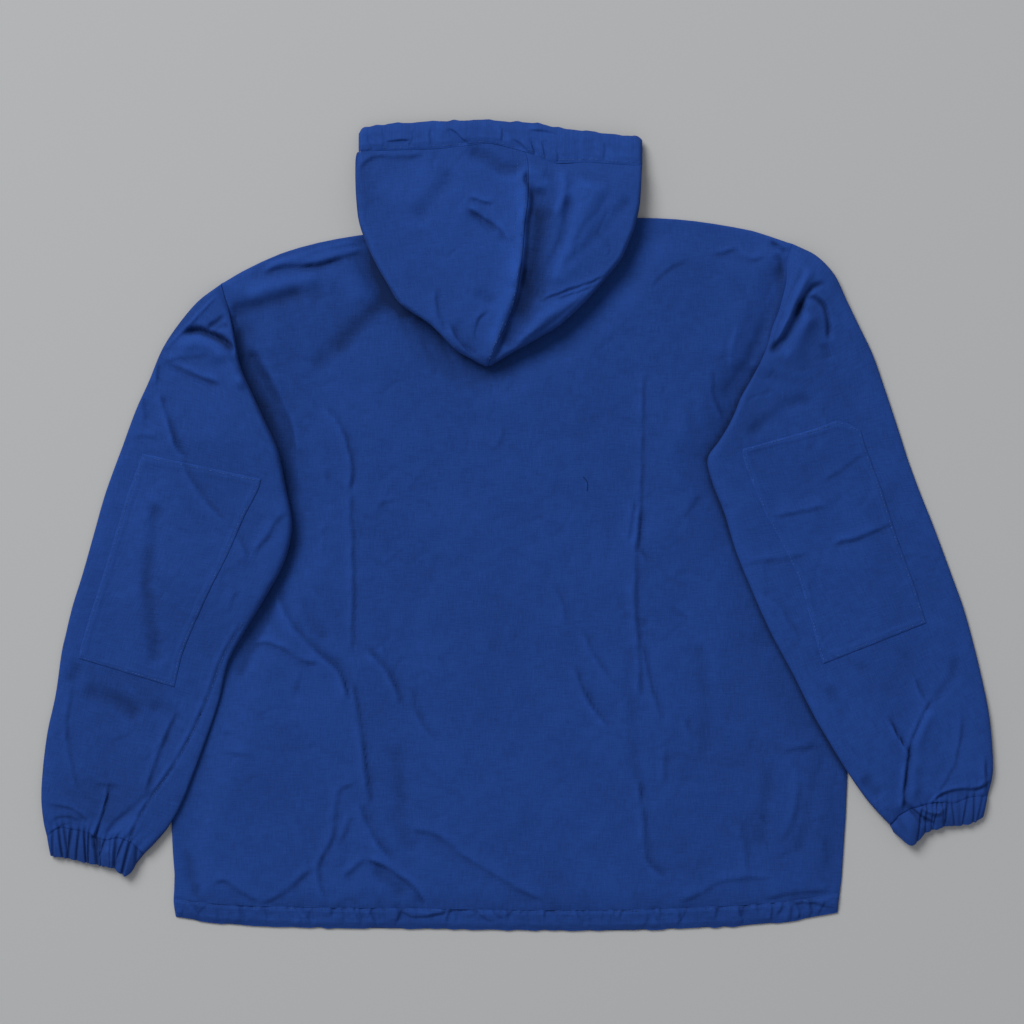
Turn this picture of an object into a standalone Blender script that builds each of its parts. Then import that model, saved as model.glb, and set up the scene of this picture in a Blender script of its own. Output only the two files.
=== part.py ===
"""Hooded anorak pullover in blue cotton canvas, laid out flat with its back side up.

Every cut piece is a thin wall of cloth: a front and a back panel lying on each other,
two flattened sleeve tubes folded over the panels' sides, an elbow patch on each sleeve,
gathered cuffs, and a hood of two halves laid back over the shoulders.

+X points to the wearer's right, +Y to the head and +Z up. The origin is on the surface
that the garment lies on, under the middle of its outline. Sizes here are millimetres,
and the meshes are metres.
"""

import math
from collections import namedtuple

import bmesh
import bpy
import numpy as np

MM = 0.001

# Cloth and seams
CLOTH = 1.2
PATCH_CLOTH = 1.0
SEAM_GAP = 0.3
ARMHOLE_GAP = 0.45
REST_GAP = 0.8
LEAST_HOLLOW = 0.5

# Body panels: the air under the back panel, and its turned-up hem
BODY_WIDTH = 660.0
PUFF = 3.6
PUFF_REACH = 50.0
FOLD_START = 12.0
HEM_WIDTH = 21.0
HEM_TURN = 3.0
HEM_SWELL = 1.2
STITCH_DIP = 0.9
STITCH_WIDTH = 2.0
EDGE_ROLL = 2.0
NECK_LEFT = -92.0
NECK_RIGHT = 68.0
NECK_DROP_BACK = 25.0
NECK_DROP_FRONT = 80.0

# What lies over the panels' edges slopes down to the surface between these distances out
RAMP_CLEAR = 26.0
RAMP_UNDER = 46.0
RAMP_OVER = 70.0

# How square a flattened tube's edges are, on its upper side and where it lies
SQUARE_TOP = 12
SQUARE_LOW = 24
SQUARE_CASING = 6

# Hood
HOOD_ROLL = 7.0
UNDER_REACH = 0.6
UNDER_CASING_GAP = 1.2
CASING_WIDTH = 27.0
CASING_HEIGHT = 5.0
CASING_PUCKERS = 22
PUCKER_HEIGHT = 0.5

# Cuffs
CUFF_WIDTH = 92.0
CUFF_HEIGHT = 8.0
CUFF_GATHERS = 12
GATHER_HEIGHT = 1.5

# How finely each piece is divided
BACK_COLUMNS = 36
BACK_ROWS = 34
HEM_ROWS = np.array([0.0, EDGE_ROLL, 10.0, 18.0, HEM_WIDTH, 24.5])
FIRST_BODY_ROW = 36.0
FRONT_COLUMNS = 14
FRONT_ROWS = 10
OUTLINE_POINTS = 41
SLEEVE_STEPS = 2
EDGE_MARGINS = np.array([0.0, 0.15, 0.45])
PATCH_POINTS = 6
LOW_POINTS = np.array([0.96, 0.8, 0.5, 0.2, 0.04])
CUFF_ROWS = np.array([0.02, 0.28, 0.76, 1.0])[:, None]
CUFF_FULLNESS = np.array([0.75, 1.0, 1.0, 0.7])[:, None]
HOOD_STEPS = 2
HOOD_ACROSS = np.array([0.0, 0.05, 0.11, 0.19, 0.3, 0.45, 0.62, 0.8, 0.93, 1.0])
CASING_UP = np.array([0.0, 0.1, 0.35, 0.65, 0.9, 1.0])
CASING_UP_LOW = np.array([0.85, 0.15])
POINTS_PER_GATHER = 4

CANVAS_BLUE = (0.014, 0.046, 0.205, 1.0)
CANVAS_DARK = (0.010, 0.034, 0.150, 1.0)

# Outline of the two body panels: where the left and right sides are at each height
Side = namedtuple("Side", "y left right")
BODY_SIDES = [
    Side(-391, -341, 320),
    Side(-378, -343, 321),
    Side(-355, -342, 324),
    Side(-325, -344, 326),
    Side(-297, -345, 328),
    Side(-243, -345, 330),
    Side(-175, -344, 331),
    Side(-95, -343, 330),
    Side(-50, -342, 325),
    Side(-5, -333, 309),
    Side(45, -321, 290),
    Side(105, -307, 270),
    Side(150, -296, 257),
    Side(176, -288, 252),
    Side(193, -285, 254),
    Side(214, -288, 262),
    Side(229, -293, 266),
    Side(240, -296, 269),
    Side(268, -296, 271),
    Side(281, -296, 276),
]

Edge = namedtuple("Edge", "x y")
HEM_LINE = [
    Edge(-341, -391),
    Edge(-303, -396.5),
    Edge(-217, -401),
    Edge(-119, -402.5),
    Edge(-17, -403.5),
    Edge(66, -404.5),
    Edge(103, -404.5),
    Edge(162, -402.5),
    Edge(233, -399),
    Edge(283, -393.5),
    Edge(320, -386),
]
SHOULDER_LINE = [
    Edge(-296, 241),
    Edge(-267, 257.5),
    Edge(-228, 274.5),
    Edge(-211, 279.5),
    Edge(-155, 290.5),
    Edge(-117, 294.5),
    Edge(-92, 295),
    Edge(68, 303),
    Edge(83, 306),
    Edge(123, 307.5),
    Edge(166, 305.5),
    Edge(209, 299.5),
    Edge(239, 293.5),
    Edge(260, 286.5),
    Edge(276, 281),
]

# Sections across each sleeve, from the armhole to the cuff. The outer edge is the one
# away from the body. The patch lies between two fractions of the way across, and the
# tube's height is given at its outer and its inner edge.
Section = namedtuple(
    "Section",
    "outer_x outer_y inner_x inner_y patch_from patch_to outer_height inner_height",
)
LEFT_SLEEVE = [
    Section(-296, 241, -288, 214, 0.13, 0.86, 3.4, 3.4),
    Section(-318, 224.5, -285, 193, 0.13, 0.86, 6, 7),
    Section(-337, 202.5, -280, 159.5, 0.13, 0.86, 8, 10),
    Section(-354, 176.5, -267, 132.5, 0.13, 0.86, 8, 11),
    Section(-367, 145.5, -253, 104.5, 0.13, 0.86, 7, 11),
    Section(-381, 114.5, -241, 75.5, 0.13, 0.86, 6, 10),
    Section(-395, 76.5, -233, 41.5, 0.13, 0.86, 6, 9),
    Section(-411, 32.5, -226, 1.5, 0.115, 0.75, 5.5, 9),
    Section(-423, -9.5, -231, -35.5, 0.11, 0.71, 5.5, 8),
    Section(-434, -48.5, -247, -70.5, 0.11, 0.7, 5.5, 7),
    Section(-444, -80.5, -264, -103.5, 0.115, 0.71, 5.5, 7),
    Section(-451, -109.5, -279, -136.5, 0.11, 0.72, 5.5, 7),
    Section(-455, -127.5, -295, -174.5, 0.11, 0.72, 6, 7),
    Section(-461, -169.5, -309, -209.5, 0.11, 0.72, 6, 7),
    Section(-469, -206.5, -321, -242.5, 0.11, 0.72, 7, 8),
    Section(-473.5, -242.5, -334, -275.5, 0.11, 0.72, 8, 9),
    Section(-475, -271.5, -347, -299.5, 0.11, 0.72, 9, 10),
    Section(-473, -294.5, -361, -316.5, 0.11, 0.72, 9, 10),
    Section(-469.5, -310.5, -372, -327.5, 0.11, 0.72, 8, 8),
]
RIGHT_SLEEVE = [
    Section(276, 281, 252, 176, 0.18, 0.82, 3.4, 3.4),
    Section(299, 269.5, 244, 163.5, 0.18, 0.82, 6, 7),
    Section(317, 250.5, 233, 144.5, 0.18, 0.82, 8, 9),
    Section(329, 225.5, 223, 127.5, 0.18, 0.82, 8, 10),
    Section(342, 198.5, 214, 112.5, 0.18, 0.82, 8, 10),
    Section(355, 171.5, 205, 97.5, 0.18, 0.82, 7, 9),
    Section(367, 137.5, 197, 84.5, 0.18, 0.82, 6, 8),
    Section(380, 98.5, 188, 66.5, 0.19, 0.82, 6, 8),
    Section(391, 64.5, 193, 43.5, 0.185, 0.81, 5.5, 8),
    Section(402, 34.5, 205, 11.5, 0.185, 0.805, 5.5, 7),
    Section(414, 4.5, 218, -24.5, 0.195, 0.77, 5.5, 7),
    Section(425, -24.5, 235, -66.5, 0.2, 0.755, 5.5, 7),
    Section(436, -54.5, 254, -108.5, 0.205, 0.785, 5.5, 7),
    Section(446, -82.5, 276, -149.5, 0.22, 0.83, 6, 7),
    Section(455, -114.5, 295, -187.5, 0.22, 0.83, 6, 7),
    Section(464, -151.5, 314, -220.5, 0.22, 0.83, 7, 8),
    Section(471, -186.5, 332, -249.5, 0.22, 0.83, 8, 8),
    Section(474.5, -219.5, 349, -273.5, 0.22, 0.83, 9, 9),
    Section(475, -247.5, 363, -289.5, 0.22, 0.83, 10, 10),
    Section(470, -270.5, 372, -298.5, 0.22, 0.83, 8, 8),
]
PatchRows = namedtuple("PatchRows", "first last")
LEFT_PATCH = PatchRows(6, 12)
RIGHT_PATCH = PatchRows(7, 13)

# Each cuff: how far its seam and its lower edge stand off the straight lines between
# the cuff's corners, towards the hand, across from the outer to the inner corner
CuffLine = namedtuple("CuffLine", "across seam edge swell")
LEFT_CUFF_LINES = [
    CuffLine(0, 0, 0, 0),
    CuffLine(0.09, -8, 0.5, 0),
    CuffLine(0.3, -11, 2, 0),
    CuffLine(0.45, -9.5, 4, 0),
    CuffLine(0.59, -6, 6, 1),
    CuffLine(0.75, -11, 7, 3),
    CuffLine(0.87, -8, 13, 4),
    CuffLine(0.94, -4, 9, 2),
    CuffLine(1, 0, 0, 0),
]
RIGHT_CUFF_LINES = [
    CuffLine(0, 0, 0, 0),
    CuffLine(0.17, -3.5, 4.5, 0),
    CuffLine(0.36, -3, 3.5, 0),
    CuffLine(0.52, -9.5, 4, 1),
    CuffLine(0.65, -9, 6, 2),
    CuffLine(0.8, -8.5, 16, 5),
    CuffLine(0.9, -6, 10, 4),
    CuffLine(1, 0, 0, 0),
]
CuffCorners = namedtuple("CuffCorners", "outer_x outer_y inner_x inner_y")
LEFT_CUFF_EDGE = CuffCorners(-466, -329.5, -380, -337)
RIGHT_CUFF_EDGE = CuffCorners(466, -291, 376, -305)

# Sections across the hood, from the face opening down to the peak, which points to the hem
HoodSection = namedtuple("HoodSection", "left_x left_y seam_x seam_y right_x right_y")
HOOD_SECTIONS = [
    HoodSection(-158, 372.5, 6, 372.5, 125, 358.5),
    HoodSection(-161, 352.5, 11, 347.5, 124, 341.5),
    HoodSection(-160, 325.5, 11, 323.5, 122, 318.5),
    HoodSection(-156, 297.5, 8, 299.5, 116, 293.5),
    HoodSection(-143, 265.5, 6, 273.5, 104, 265.5),
    HoodSection(-129, 240.5, 3, 248.5, 85, 241.5),
    HoodSection(-113, 219.5, -1, 225.5, 67, 221.5),
    HoodSection(-86, 199.5, -8, 204.5, 43, 199.5),
    HoodSection(-63, 176.5, -17, 186.5, 20, 185.5),
    HoodSection(-47, 166.5, -23, 174.5, -2, 173.5),
    HoodSection(-37, 161, -27, 165.5, -17, 164.5),
    HoodSection(-31, 158.5, -28.5, 159, -26, 159.5),
]
CasingSection = namedtuple("CasingSection", "x top_y stitch_y")
CASING_SECTIONS = [
    CasingSection(-158, 391, 372.5),
    CasingSection(-152, 397.5, 373),
    CasingSection(-131, 400.5, 373.5),
    CasingSection(-118, 401.5, 374),
    CasingSection(-77, 404, 375.5),
    CasingSection(-49, 404, 378.5),
    CasingSection(-27, 404.5, 380.5),
    CasingSection(-8, 403.5, 376.5),
    CasingSection(13, 402.5, 370.5),
    CasingSection(36, 398, 361),
    CasingSection(70, 393, 361.5),
    CasingSection(97, 390.5, 359.5),
    CasingSection(118, 388, 358.5),
    CasingSection(125, 384, 358.5),
]
# Height of the folded hood above what it lies on, by distance up the garment
HoodHeight = namedtuple("HoodHeight", "y height")
HOOD_HEIGHTS = [
    HoodHeight(158, 7),
    HoodHeight(165, 9),
    HoodHeight(180, 12),
    HoodHeight(200, 14),
    HoodHeight(240, 16.5),
    HoodHeight(298, 17),
    HoodHeight(350, 14),
    HoodHeight(372, 12),
    HoodHeight(405, 10),
]

# The hidden layers' bulging edge: how far out and how far up each of its points is
RimPoint = namedtuple("RimPoint", "out up")
UNDER_RIM = [RimPoint(1.6, 0.7), RimPoint(0.0, 0.45), RimPoint(1.6, 0.2)]
# Their rounded end at the face opening: how far up the casing, and how much lower
OpeningRow = namedtuple("OpeningRow", "up drop")
UNDER_OPENING = [OpeningRow(0.96, 2.0), OpeningRow(0.86, 0.4), OpeningRow(0.5, 0.0)]

# Soft folds: a straight or bowed line, its half width, and its height or, below zero, depth
Fold = namedtuple("Fold", "x0 y0 x1 y1 bow half_width height")
BACK_FOLDS = [
    # Left shoulder
    Fold(-150, 268, -268, 248, -4, 7, -3.0),
    Fold(-160, 276, -214, 266, 0, 7, 1.6),
    Fold(-200, 247, -270, 228, 0, 8, 3.0),
    Fold(-286, 211, -222, 232, 3, 7, -3.4),
    # Beside the hood and the right armhole
    Fold(-160, 193, -200, 156, 6, 9, -2.0),
    Fold(-150, 232, -146, 204, 0, 16, 2.2),
    Fold(136, 240, 168, 266, -4, 7, -1.6),
    Fold(196, 156, 206, 104, 8, 7, -2.2),
    # The two long creases down the panel
    Fold(-192, 114, -160, 60, 0, 8, -2.2),
    Fold(-163, 72, -162, -110, 2, 8, -2.0),
    Fold(-168, -150, -150, -262, 3, 8, -2.2),
    Fold(-156, -276, -124, -334, -3, 7, -2.0),
    Fold(125, 130, 122, -20, 0, 8, -1.8),
    Fold(118, -20, 122, -150, 0, 8, -2.2),
    Fold(118, -190, 132, -344, -2, 9, -2.0),
    # Slanting folds below the sleeves
    Fold(-246, -54, -158, -172, 8, 8, -3.0),
    Fold(-232, -54, -146, -158, 8, 9, 1.8),
    Fold(-268, -116, -214, -133, 3, 7, -1.8),
    Fold(-148, -124, -117, -172, 5, 6, -2.0),
    Fold(55, -138, 96, -207, -5, 6, -2.0),
    Fold(70, -112, 94, -156, 0, 7, -1.4),
    # Above the hem
    Fold(-164, -256, -196, -380, -5, 8, -2.4),
    Fold(-214, -352, -182, -366, 0, 10, 1.8),
    Fold(-146, -332, -86, -380, 4, 7, -2.6),
    Fold(-106, -302, 28, -378, 0, 8, -1.8),
    Fold(-296, -356, -252, -380, 4, 7, -1.8),
    Fold(180, -376, 300, -346, 12, 8, -2.4),
    Fold(266, -246, 276, -318, 4, 8, -1.8),
]
ARMHOLE_LIFTS = [
    Fold(-298, 262, -282, 160, 0, 34, 3.2),
    Fold(284, 316, 246, 146, 0, 36, 3.2),
]
LEFT_SLEEVE_FOLDS = [
    Fold(-330, 192, -284, 172, 3, 6, -3.4),
    Fold(-316, 181, -276, 155, 0, 7, 3.2),
    Fold(-350, 166, -286, 142, 3, 7, -3.6),
    Fold(-360, 150, -290, 128, 0, 8, 2.0),
    Fold(-358, 132, -326, 60, -4, 7, -2.6),
    Fold(-368, 12, -358, -140, 4, 12, -1.8),
    Fold(-452, -154, -352, -186, -8, 12, -1.8),
    Fold(-408, -256, -422, -310, 0, 6, -4.0),
    Fold(-332, -206, -414, -312, 4, 8, -3.0),
    Fold(-344, -238, -396, -316, 4, 8, 2.4),
]
RIGHT_SLEEVE_FOLDS = [
    Fold(288, 258, 252, 174, -4, 8, 3.4),
    Fold(306, 242, 254, 172, -4, 7, -4.2),
    Fold(292, 216, 256, 160, 0, 8, 3.6),
    Fold(306, 224, 308, 180, 6, 7, -2.4),
    Fold(224, 88, 296, 128, -4, 9, -2.4),
    Fold(256, 12, 308, 18, 0, 7, -1.8),
    Fold(270, -36, 380, 4, 0, 8, -2.4),
    Fold(442, -136, 388, -222, -6, 9, -3.6),
    Fold(456, -150, 402, -232, -6, 9, 3.0),
    Fold(391, -212, 384, -288, 4, 8, -5.0),
    Fold(368, -190, 392, -228, 0, 6, -2.6),
    Fold(440, -236, 408, -282, 3, 7, -3.2),
    Fold(452, -214, 446, -262, 0, 6, -2.0),
]
HOOD_FOLDS = [
    # Centre ridge, and the valley that falls away to its right
    Fold(12, 392, 2, 236, 3, 11, 5.5),
    Fold(4, 262, -28, 158, 5, 9, 4.0),
    Fold(21, 372, 12, 236, 3, 7, -5.0),
    Fold(13, 262, -14, 172, 5, 6, -3.4),
    # Right half
    Fold(78, 344, 50, 258, 0, 14, 3.0),
    Fold(53, 318, 16, 230, -6, 7, -2.6),
    Fold(104, 258, 22, 222, -6, 6, -2.6),
    Fold(76, 234, -2, 184, 0, 8, 1.8),
    # Left half
    Fold(-60, 356, -98, 300, -5, 9, -2.2),
    Fold(-52, 314, -14, 286, 0, 6, -2.0),
    Fold(-80, 236, -70, 192, -3, 6, -1.8),
    Fold(-70, 200, -38, 162, -2, 6, -1.8),
    Fold(-112, 320, -96, 236, 0, 24, 2.4),
]


def numbers(rows, column):
    """One named column of a table."""
    return np.array([getattr(row, column) for row in rows], float)


def smooth_step(value):
    """0 below 0, 1 above 1, and an even slope between."""
    value = np.clip(value, 0.0, 1.0)
    return value * value * (3.0 - 2.0 * value)


def smooth_curve(at, stations, values):
    """Values at the given places on a smooth curve through the known stations."""
    at = np.clip(at, stations[0], stations[-1])
    slopes = np.gradient(values, stations)
    left = np.clip(np.searchsorted(stations, at) - 1, 0, len(stations) - 2)
    span = stations[left + 1] - stations[left]
    part = (at - stations[left]) / span
    rise = values[left + 1] - values[left]
    start = slopes[left] * span - rise
    end = rise - slopes[left + 1] * span
    line = values[left] + part * rise
    return line + part * (1 - part) * (start * (1 - part) + end * part)


def side_x(y, side):
    """X of the panels' left or right side at a height on the garment."""
    return smooth_curve(y, numbers(BODY_SIDES, "y"), numbers(BODY_SIDES, side))


def shoulder_y(across, neck_drop):
    """Y of a panel's upper edge, a fraction of the way across, with its neckline."""
    x = numbers(SHOULDER_LINE, "x")
    at = x[0] + (x[-1] - x[0]) * across
    line = smooth_curve(at, x, numbers(SHOULDER_LINE, "y"))
    neck = np.clip((at - NECK_LEFT) / (NECK_RIGHT - NECK_LEFT), 0.0, 1.0)
    return line - neck_drop * 4.0 * neck * (1.0 - neck)


def hem_y(across):
    """Y of a panel's hem, a fraction of the way across."""
    x = numbers(HEM_LINE, "x")
    return smooth_curve(x[0] + (x[-1] - x[0]) * across, x, numbers(HEM_LINE, "y"))


def panel_plan(across, up, neck_drop):
    """Where a point of a body panel lies, by fractions across it and up it."""
    y = hem_y(across) * (1.0 - up) + shoulder_y(across, neck_drop) * up
    left = side_x(y, "left")
    return left + (side_x(y, "right") - left) * across, y


def panel_outline(neck_drop):
    """The panel's outline as a closed run of points."""
    run = np.linspace(0.0, 1.0, OUTLINE_POINTS)
    zero, one = np.zeros_like(run), np.ones_like(run)
    across = np.concatenate([run, one, run[::-1], zero])
    up = np.concatenate([zero, run, one, run[::-1]])
    return np.stack(panel_plan(across, up, neck_drop), axis=-1)


def sleeve_outline(rows):
    """The closed outline of a sleeve, without its short first stretch at the armhole."""
    outer = np.stack([numbers(rows, "outer_x"), numbers(rows, "outer_y")], axis=-1)[1:]
    inner = np.stack([numbers(rows, "inner_x"), numbers(rows, "inner_y")], axis=-1)[1:]
    return np.concatenate([outer, inner[::-1]])


def hood_outline():
    """The closed outline of the folded hood with its casing."""
    left = np.stack([numbers(HOOD_SECTIONS, "left_x"), numbers(HOOD_SECTIONS, "left_y")], -1)
    right = np.stack([numbers(HOOD_SECTIONS, "right_x"), numbers(HOOD_SECTIONS, "right_y")], -1)
    top = np.stack([numbers(CASING_SECTIONS, "x"), numbers(CASING_SECTIONS, "top_y")], -1)
    return np.concatenate([left[::-1], top, right])


def depth_inside(x, y, outline):
    """Distance from each point to a closed outline, above zero inside it."""
    nearest = np.full(x.shape, np.inf)
    inside = np.zeros(x.shape, bool)
    for (ax, ay), (bx, by) in zip(outline, np.roll(outline, -1, axis=0)):
        run_x, run_y = bx - ax, by - ay
        run = run_x * run_x + run_y * run_y
        if run == 0.0:
            continue
        along = np.clip(((x - ax) * run_x + (y - ay) * run_y) / run, 0.0, 1.0)
        nearest = np.minimum(nearest, np.hypot(x - ax - along * run_x, y - ay - along * run_y))
        if ay != by:
            crosses = (ay > y) != (by > y)
            inside ^= crosses & (x < ax + (y - ay) * run_x / run_y)
    return np.where(inside, nearest, -nearest)


FLAT_TOP = 2 * CLOTH + SEAM_GAP
BODY_OUTLINE = panel_outline(NECK_DROP_BACK)
LEFT_SLEEVE_OUTLINE = sleeve_outline(LEFT_SLEEVE)
RIGHT_SLEEVE_OUTLINE = sleeve_outline(RIGHT_SLEEVE)
HOOD_OUTLINE = hood_outline()


def relief(x, y, folds):
    """Height that a table of soft folds adds at each point."""
    total = np.zeros(x.shape)
    for fold in folds:
        run_x, run_y = fold.x1 - fold.x0, fold.y1 - fold.y0
        run = math.hypot(run_x, run_y)
        along = ((x - fold.x0) * run_x + (y - fold.y0) * run_y) / run**2
        aside = ((y - fold.y0) * run_x - (x - fold.x0) * run_y) / run
        aside = aside - 4.0 * fold.bow * along * (1.0 - along)
        taper = np.clip(1.0 - (2.0 * along - 1.0) ** 4, 0.0, 1.0)
        total += fold.height * taper * np.exp(-((aside / fold.half_width) ** 2))
    return total


def back_top(x, y):
    """Upper side of the back panel, also as it would run on past its outline."""
    inside = depth_inside(x, y, BODY_OUTLINE)
    covers = (LEFT_SLEEVE_OUTLINE, RIGHT_SLEEVE_OUTLINE, HOOD_OUTLINE)
    uncovered = np.min([-depth_inside(x, y, cover) for cover in covers], axis=0)
    puff = PUFF * smooth_step(inside / PUFF_REACH) * smooth_step(uncovered / PUFF_REACH)
    folds = relief(x, y, BACK_FOLDS)
    folds = folds * smooth_step(uncovered / FOLD_START) * smooth_step(inside / FOLD_START)
    raised = puff + folds + relief(x, y, ARMHOLE_LIFTS)
    return FLAT_TOP + np.maximum(raised, 0.0)


def ground(x, y, ramp):
    """What a sleeve or the hood lies on: the surface, or the back panel and a gap."""
    inside = depth_inside(x, y, BODY_OUTLINE)
    slope = smooth_step((inside + ramp) / (ramp - RAMP_CLEAR))
    return (back_top(x, y) + REST_GAP) * slope


def edge_and_even(edge, count):
    """Fractions from 0 to 1: one narrow step at each end and even steps between."""
    return np.concatenate([[0.0], np.linspace(edge, 1.0 - edge, count - 1), [1.0]])


def add_object(name, points, faces, colour):
    """A smooth-shaded mesh object from points in millimetres, with its own material."""
    mesh = bpy.data.meshes.new(name)
    mesh.from_pydata((points * MM).tolist(), [], faces)
    facing = bmesh.new()
    facing.from_mesh(mesh)
    bmesh.ops.recalc_face_normals(facing, faces=facing.faces)
    facing.to_mesh(mesh)
    facing.free()
    mesh.shade_smooth()
    mesh.set_sharp_from_angle(angle=math.radians(50))
    material = bpy.data.materials.new(name + "_canvas")
    material.use_nodes = True
    surface = material.node_tree.nodes["Principled BSDF"]
    surface.inputs["Base Color"].default_value = colour
    surface.inputs["Roughness"].default_value = 0.9
    surface.inputs["Metallic"].default_value = 0.0
    mesh.materials.append(material)
    part = bpy.data.objects.new(name, mesh)
    bpy.data.collections["anorak_pullover"].objects.link(part)
    return part


def grid_faces(rows, columns, first, around):
    """Triangles of a grid of points, wrapped round its columns if asked.

    Each square is split along the same diagonal, so that layers made from the same
    points stay the same distance apart all over.
    """
    faces = []
    for row in range(rows - 1):
        low, high = first + row * columns, first + (row + 1) * columns
        for column in range(columns if around else columns - 1):
            beside = (column + 1) % columns
            faces.append((low + column, low + beside, high + beside))
            faces.append((low + column, high + beside, high + column))
    return faces


def add_wall(name, outside, inside, around=False, colour=CANVAS_BLUE):
    """A closed wall of cloth between two grids of points of one shape.

    With `around`, each row is a ring and the wall is a tube with open ends.
    """
    rows, columns = outside.shape[:2]
    count = rows * columns
    faces = grid_faces(rows, columns, 0, around)
    faces += [face[::-1] for face in grid_faces(rows, columns, count, around)]
    last = (rows - 1) * columns
    for column in range(columns if around else columns - 1):
        beside = (column + 1) % columns
        faces.append((beside, column, count + column, count + beside))
        faces.append((last + column, last + beside, count + last + beside, count + last + column))
    if not around:
        for row in range(rows - 1):
            low, high = row * columns, (row + 1) * columns
            faces.append((low, high, count + high, count + low))
            low, high = low + columns - 1, high + columns - 1
            faces.append((high, low, count + low, count + high))
    points = np.concatenate([outside.reshape(-1, 3), inside.reshape(-1, 3)])
    return add_object(name, points, faces, colour)


def add_loft(name, rings, colour=CANVAS_BLUE):
    """A closed solid through a stack of rings, with a flat end at each side."""
    rows, columns = rings.shape[:2]
    faces = grid_faces(rows, columns, 0, True)
    faces.append(tuple(range(columns))[::-1])
    faces.append(tuple((rows - 1) * columns + column for column in range(columns)))
    return add_object(name, rings.reshape(-1, 3), faces, colour)


def stacked(x, y, z):
    return np.stack(np.broadcast_arrays(x, y, z), axis=-1)


def hem_relief(drop):
    """The turned-up hem's swell and its stitched line, by distance up from the hem."""
    swell = HEM_SWELL * smooth_step(drop / HEM_TURN) * smooth_step((HEM_WIDTH - drop) / HEM_TURN)
    return swell - STITCH_DIP * np.exp(-(((drop - HEM_WIDTH) / STITCH_WIDTH) ** 2))


def back_rows():
    """Fractions up the back panel, with close rows over the hem and at the shoulders."""
    length = shoulder_y(0.5, 0.0) - hem_y(0.5)
    body = np.linspace(FIRST_BODY_ROW, length - EDGE_ROLL, BACK_ROWS - len(HEM_ROWS) - 1)
    return np.concatenate([HEM_ROWS, body, [length]]) / length, length


def make_back():
    up, length = back_rows()
    across = edge_and_even(EDGE_ROLL / BODY_WIDTH, BACK_COLUMNS)
    across, up = np.meshgrid(across, up)
    x, y = panel_plan(across, up, NECK_DROP_BACK)
    rim = (across == 0.0) | (across == 1.0) | (up == 0.0) | (up == 1.0)
    top = back_top(x, y) + hem_relief(up * length)
    top = np.where(rim, FLAT_TOP, np.maximum(top, FLAT_TOP))
    return add_wall("back", stacked(x, y, top), stacked(x, y, top - CLOTH))


def make_front():
    across = np.linspace(0.0, 1.0, FRONT_COLUMNS)
    up = np.linspace(0.0, 1.0, FRONT_ROWS)
    across, up = np.meshgrid(across, up)
    x, y = panel_plan(across, up, NECK_DROP_FRONT)
    return add_wall("front", stacked(x, y, CLOTH), stacked(x, y, 0.0))


def armhole_bend(rows, side, across):
    """How far the armhole seam bends away from the straight first section of a sleeve."""
    first = rows[0]
    y = first.outer_y + (first.inner_y - first.outer_y) * across
    straight = first.outer_x + (first.inner_x - first.outer_x) * across
    outward = -1.0 if side == "left" else 1.0
    return side_x(y, side) + outward * ARMHOLE_GAP - straight


def edge_round(across, sharpness):
    """How much of its height a flattened tube has, from 0 at its edges to 1."""
    return np.sqrt(1.0 - np.abs(2.0 * across - 1.0) ** sharpness)


def cuff_line(lines, across, column):
    return smooth_curve(across, numbers(lines, "across"), numbers(lines, column))


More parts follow.
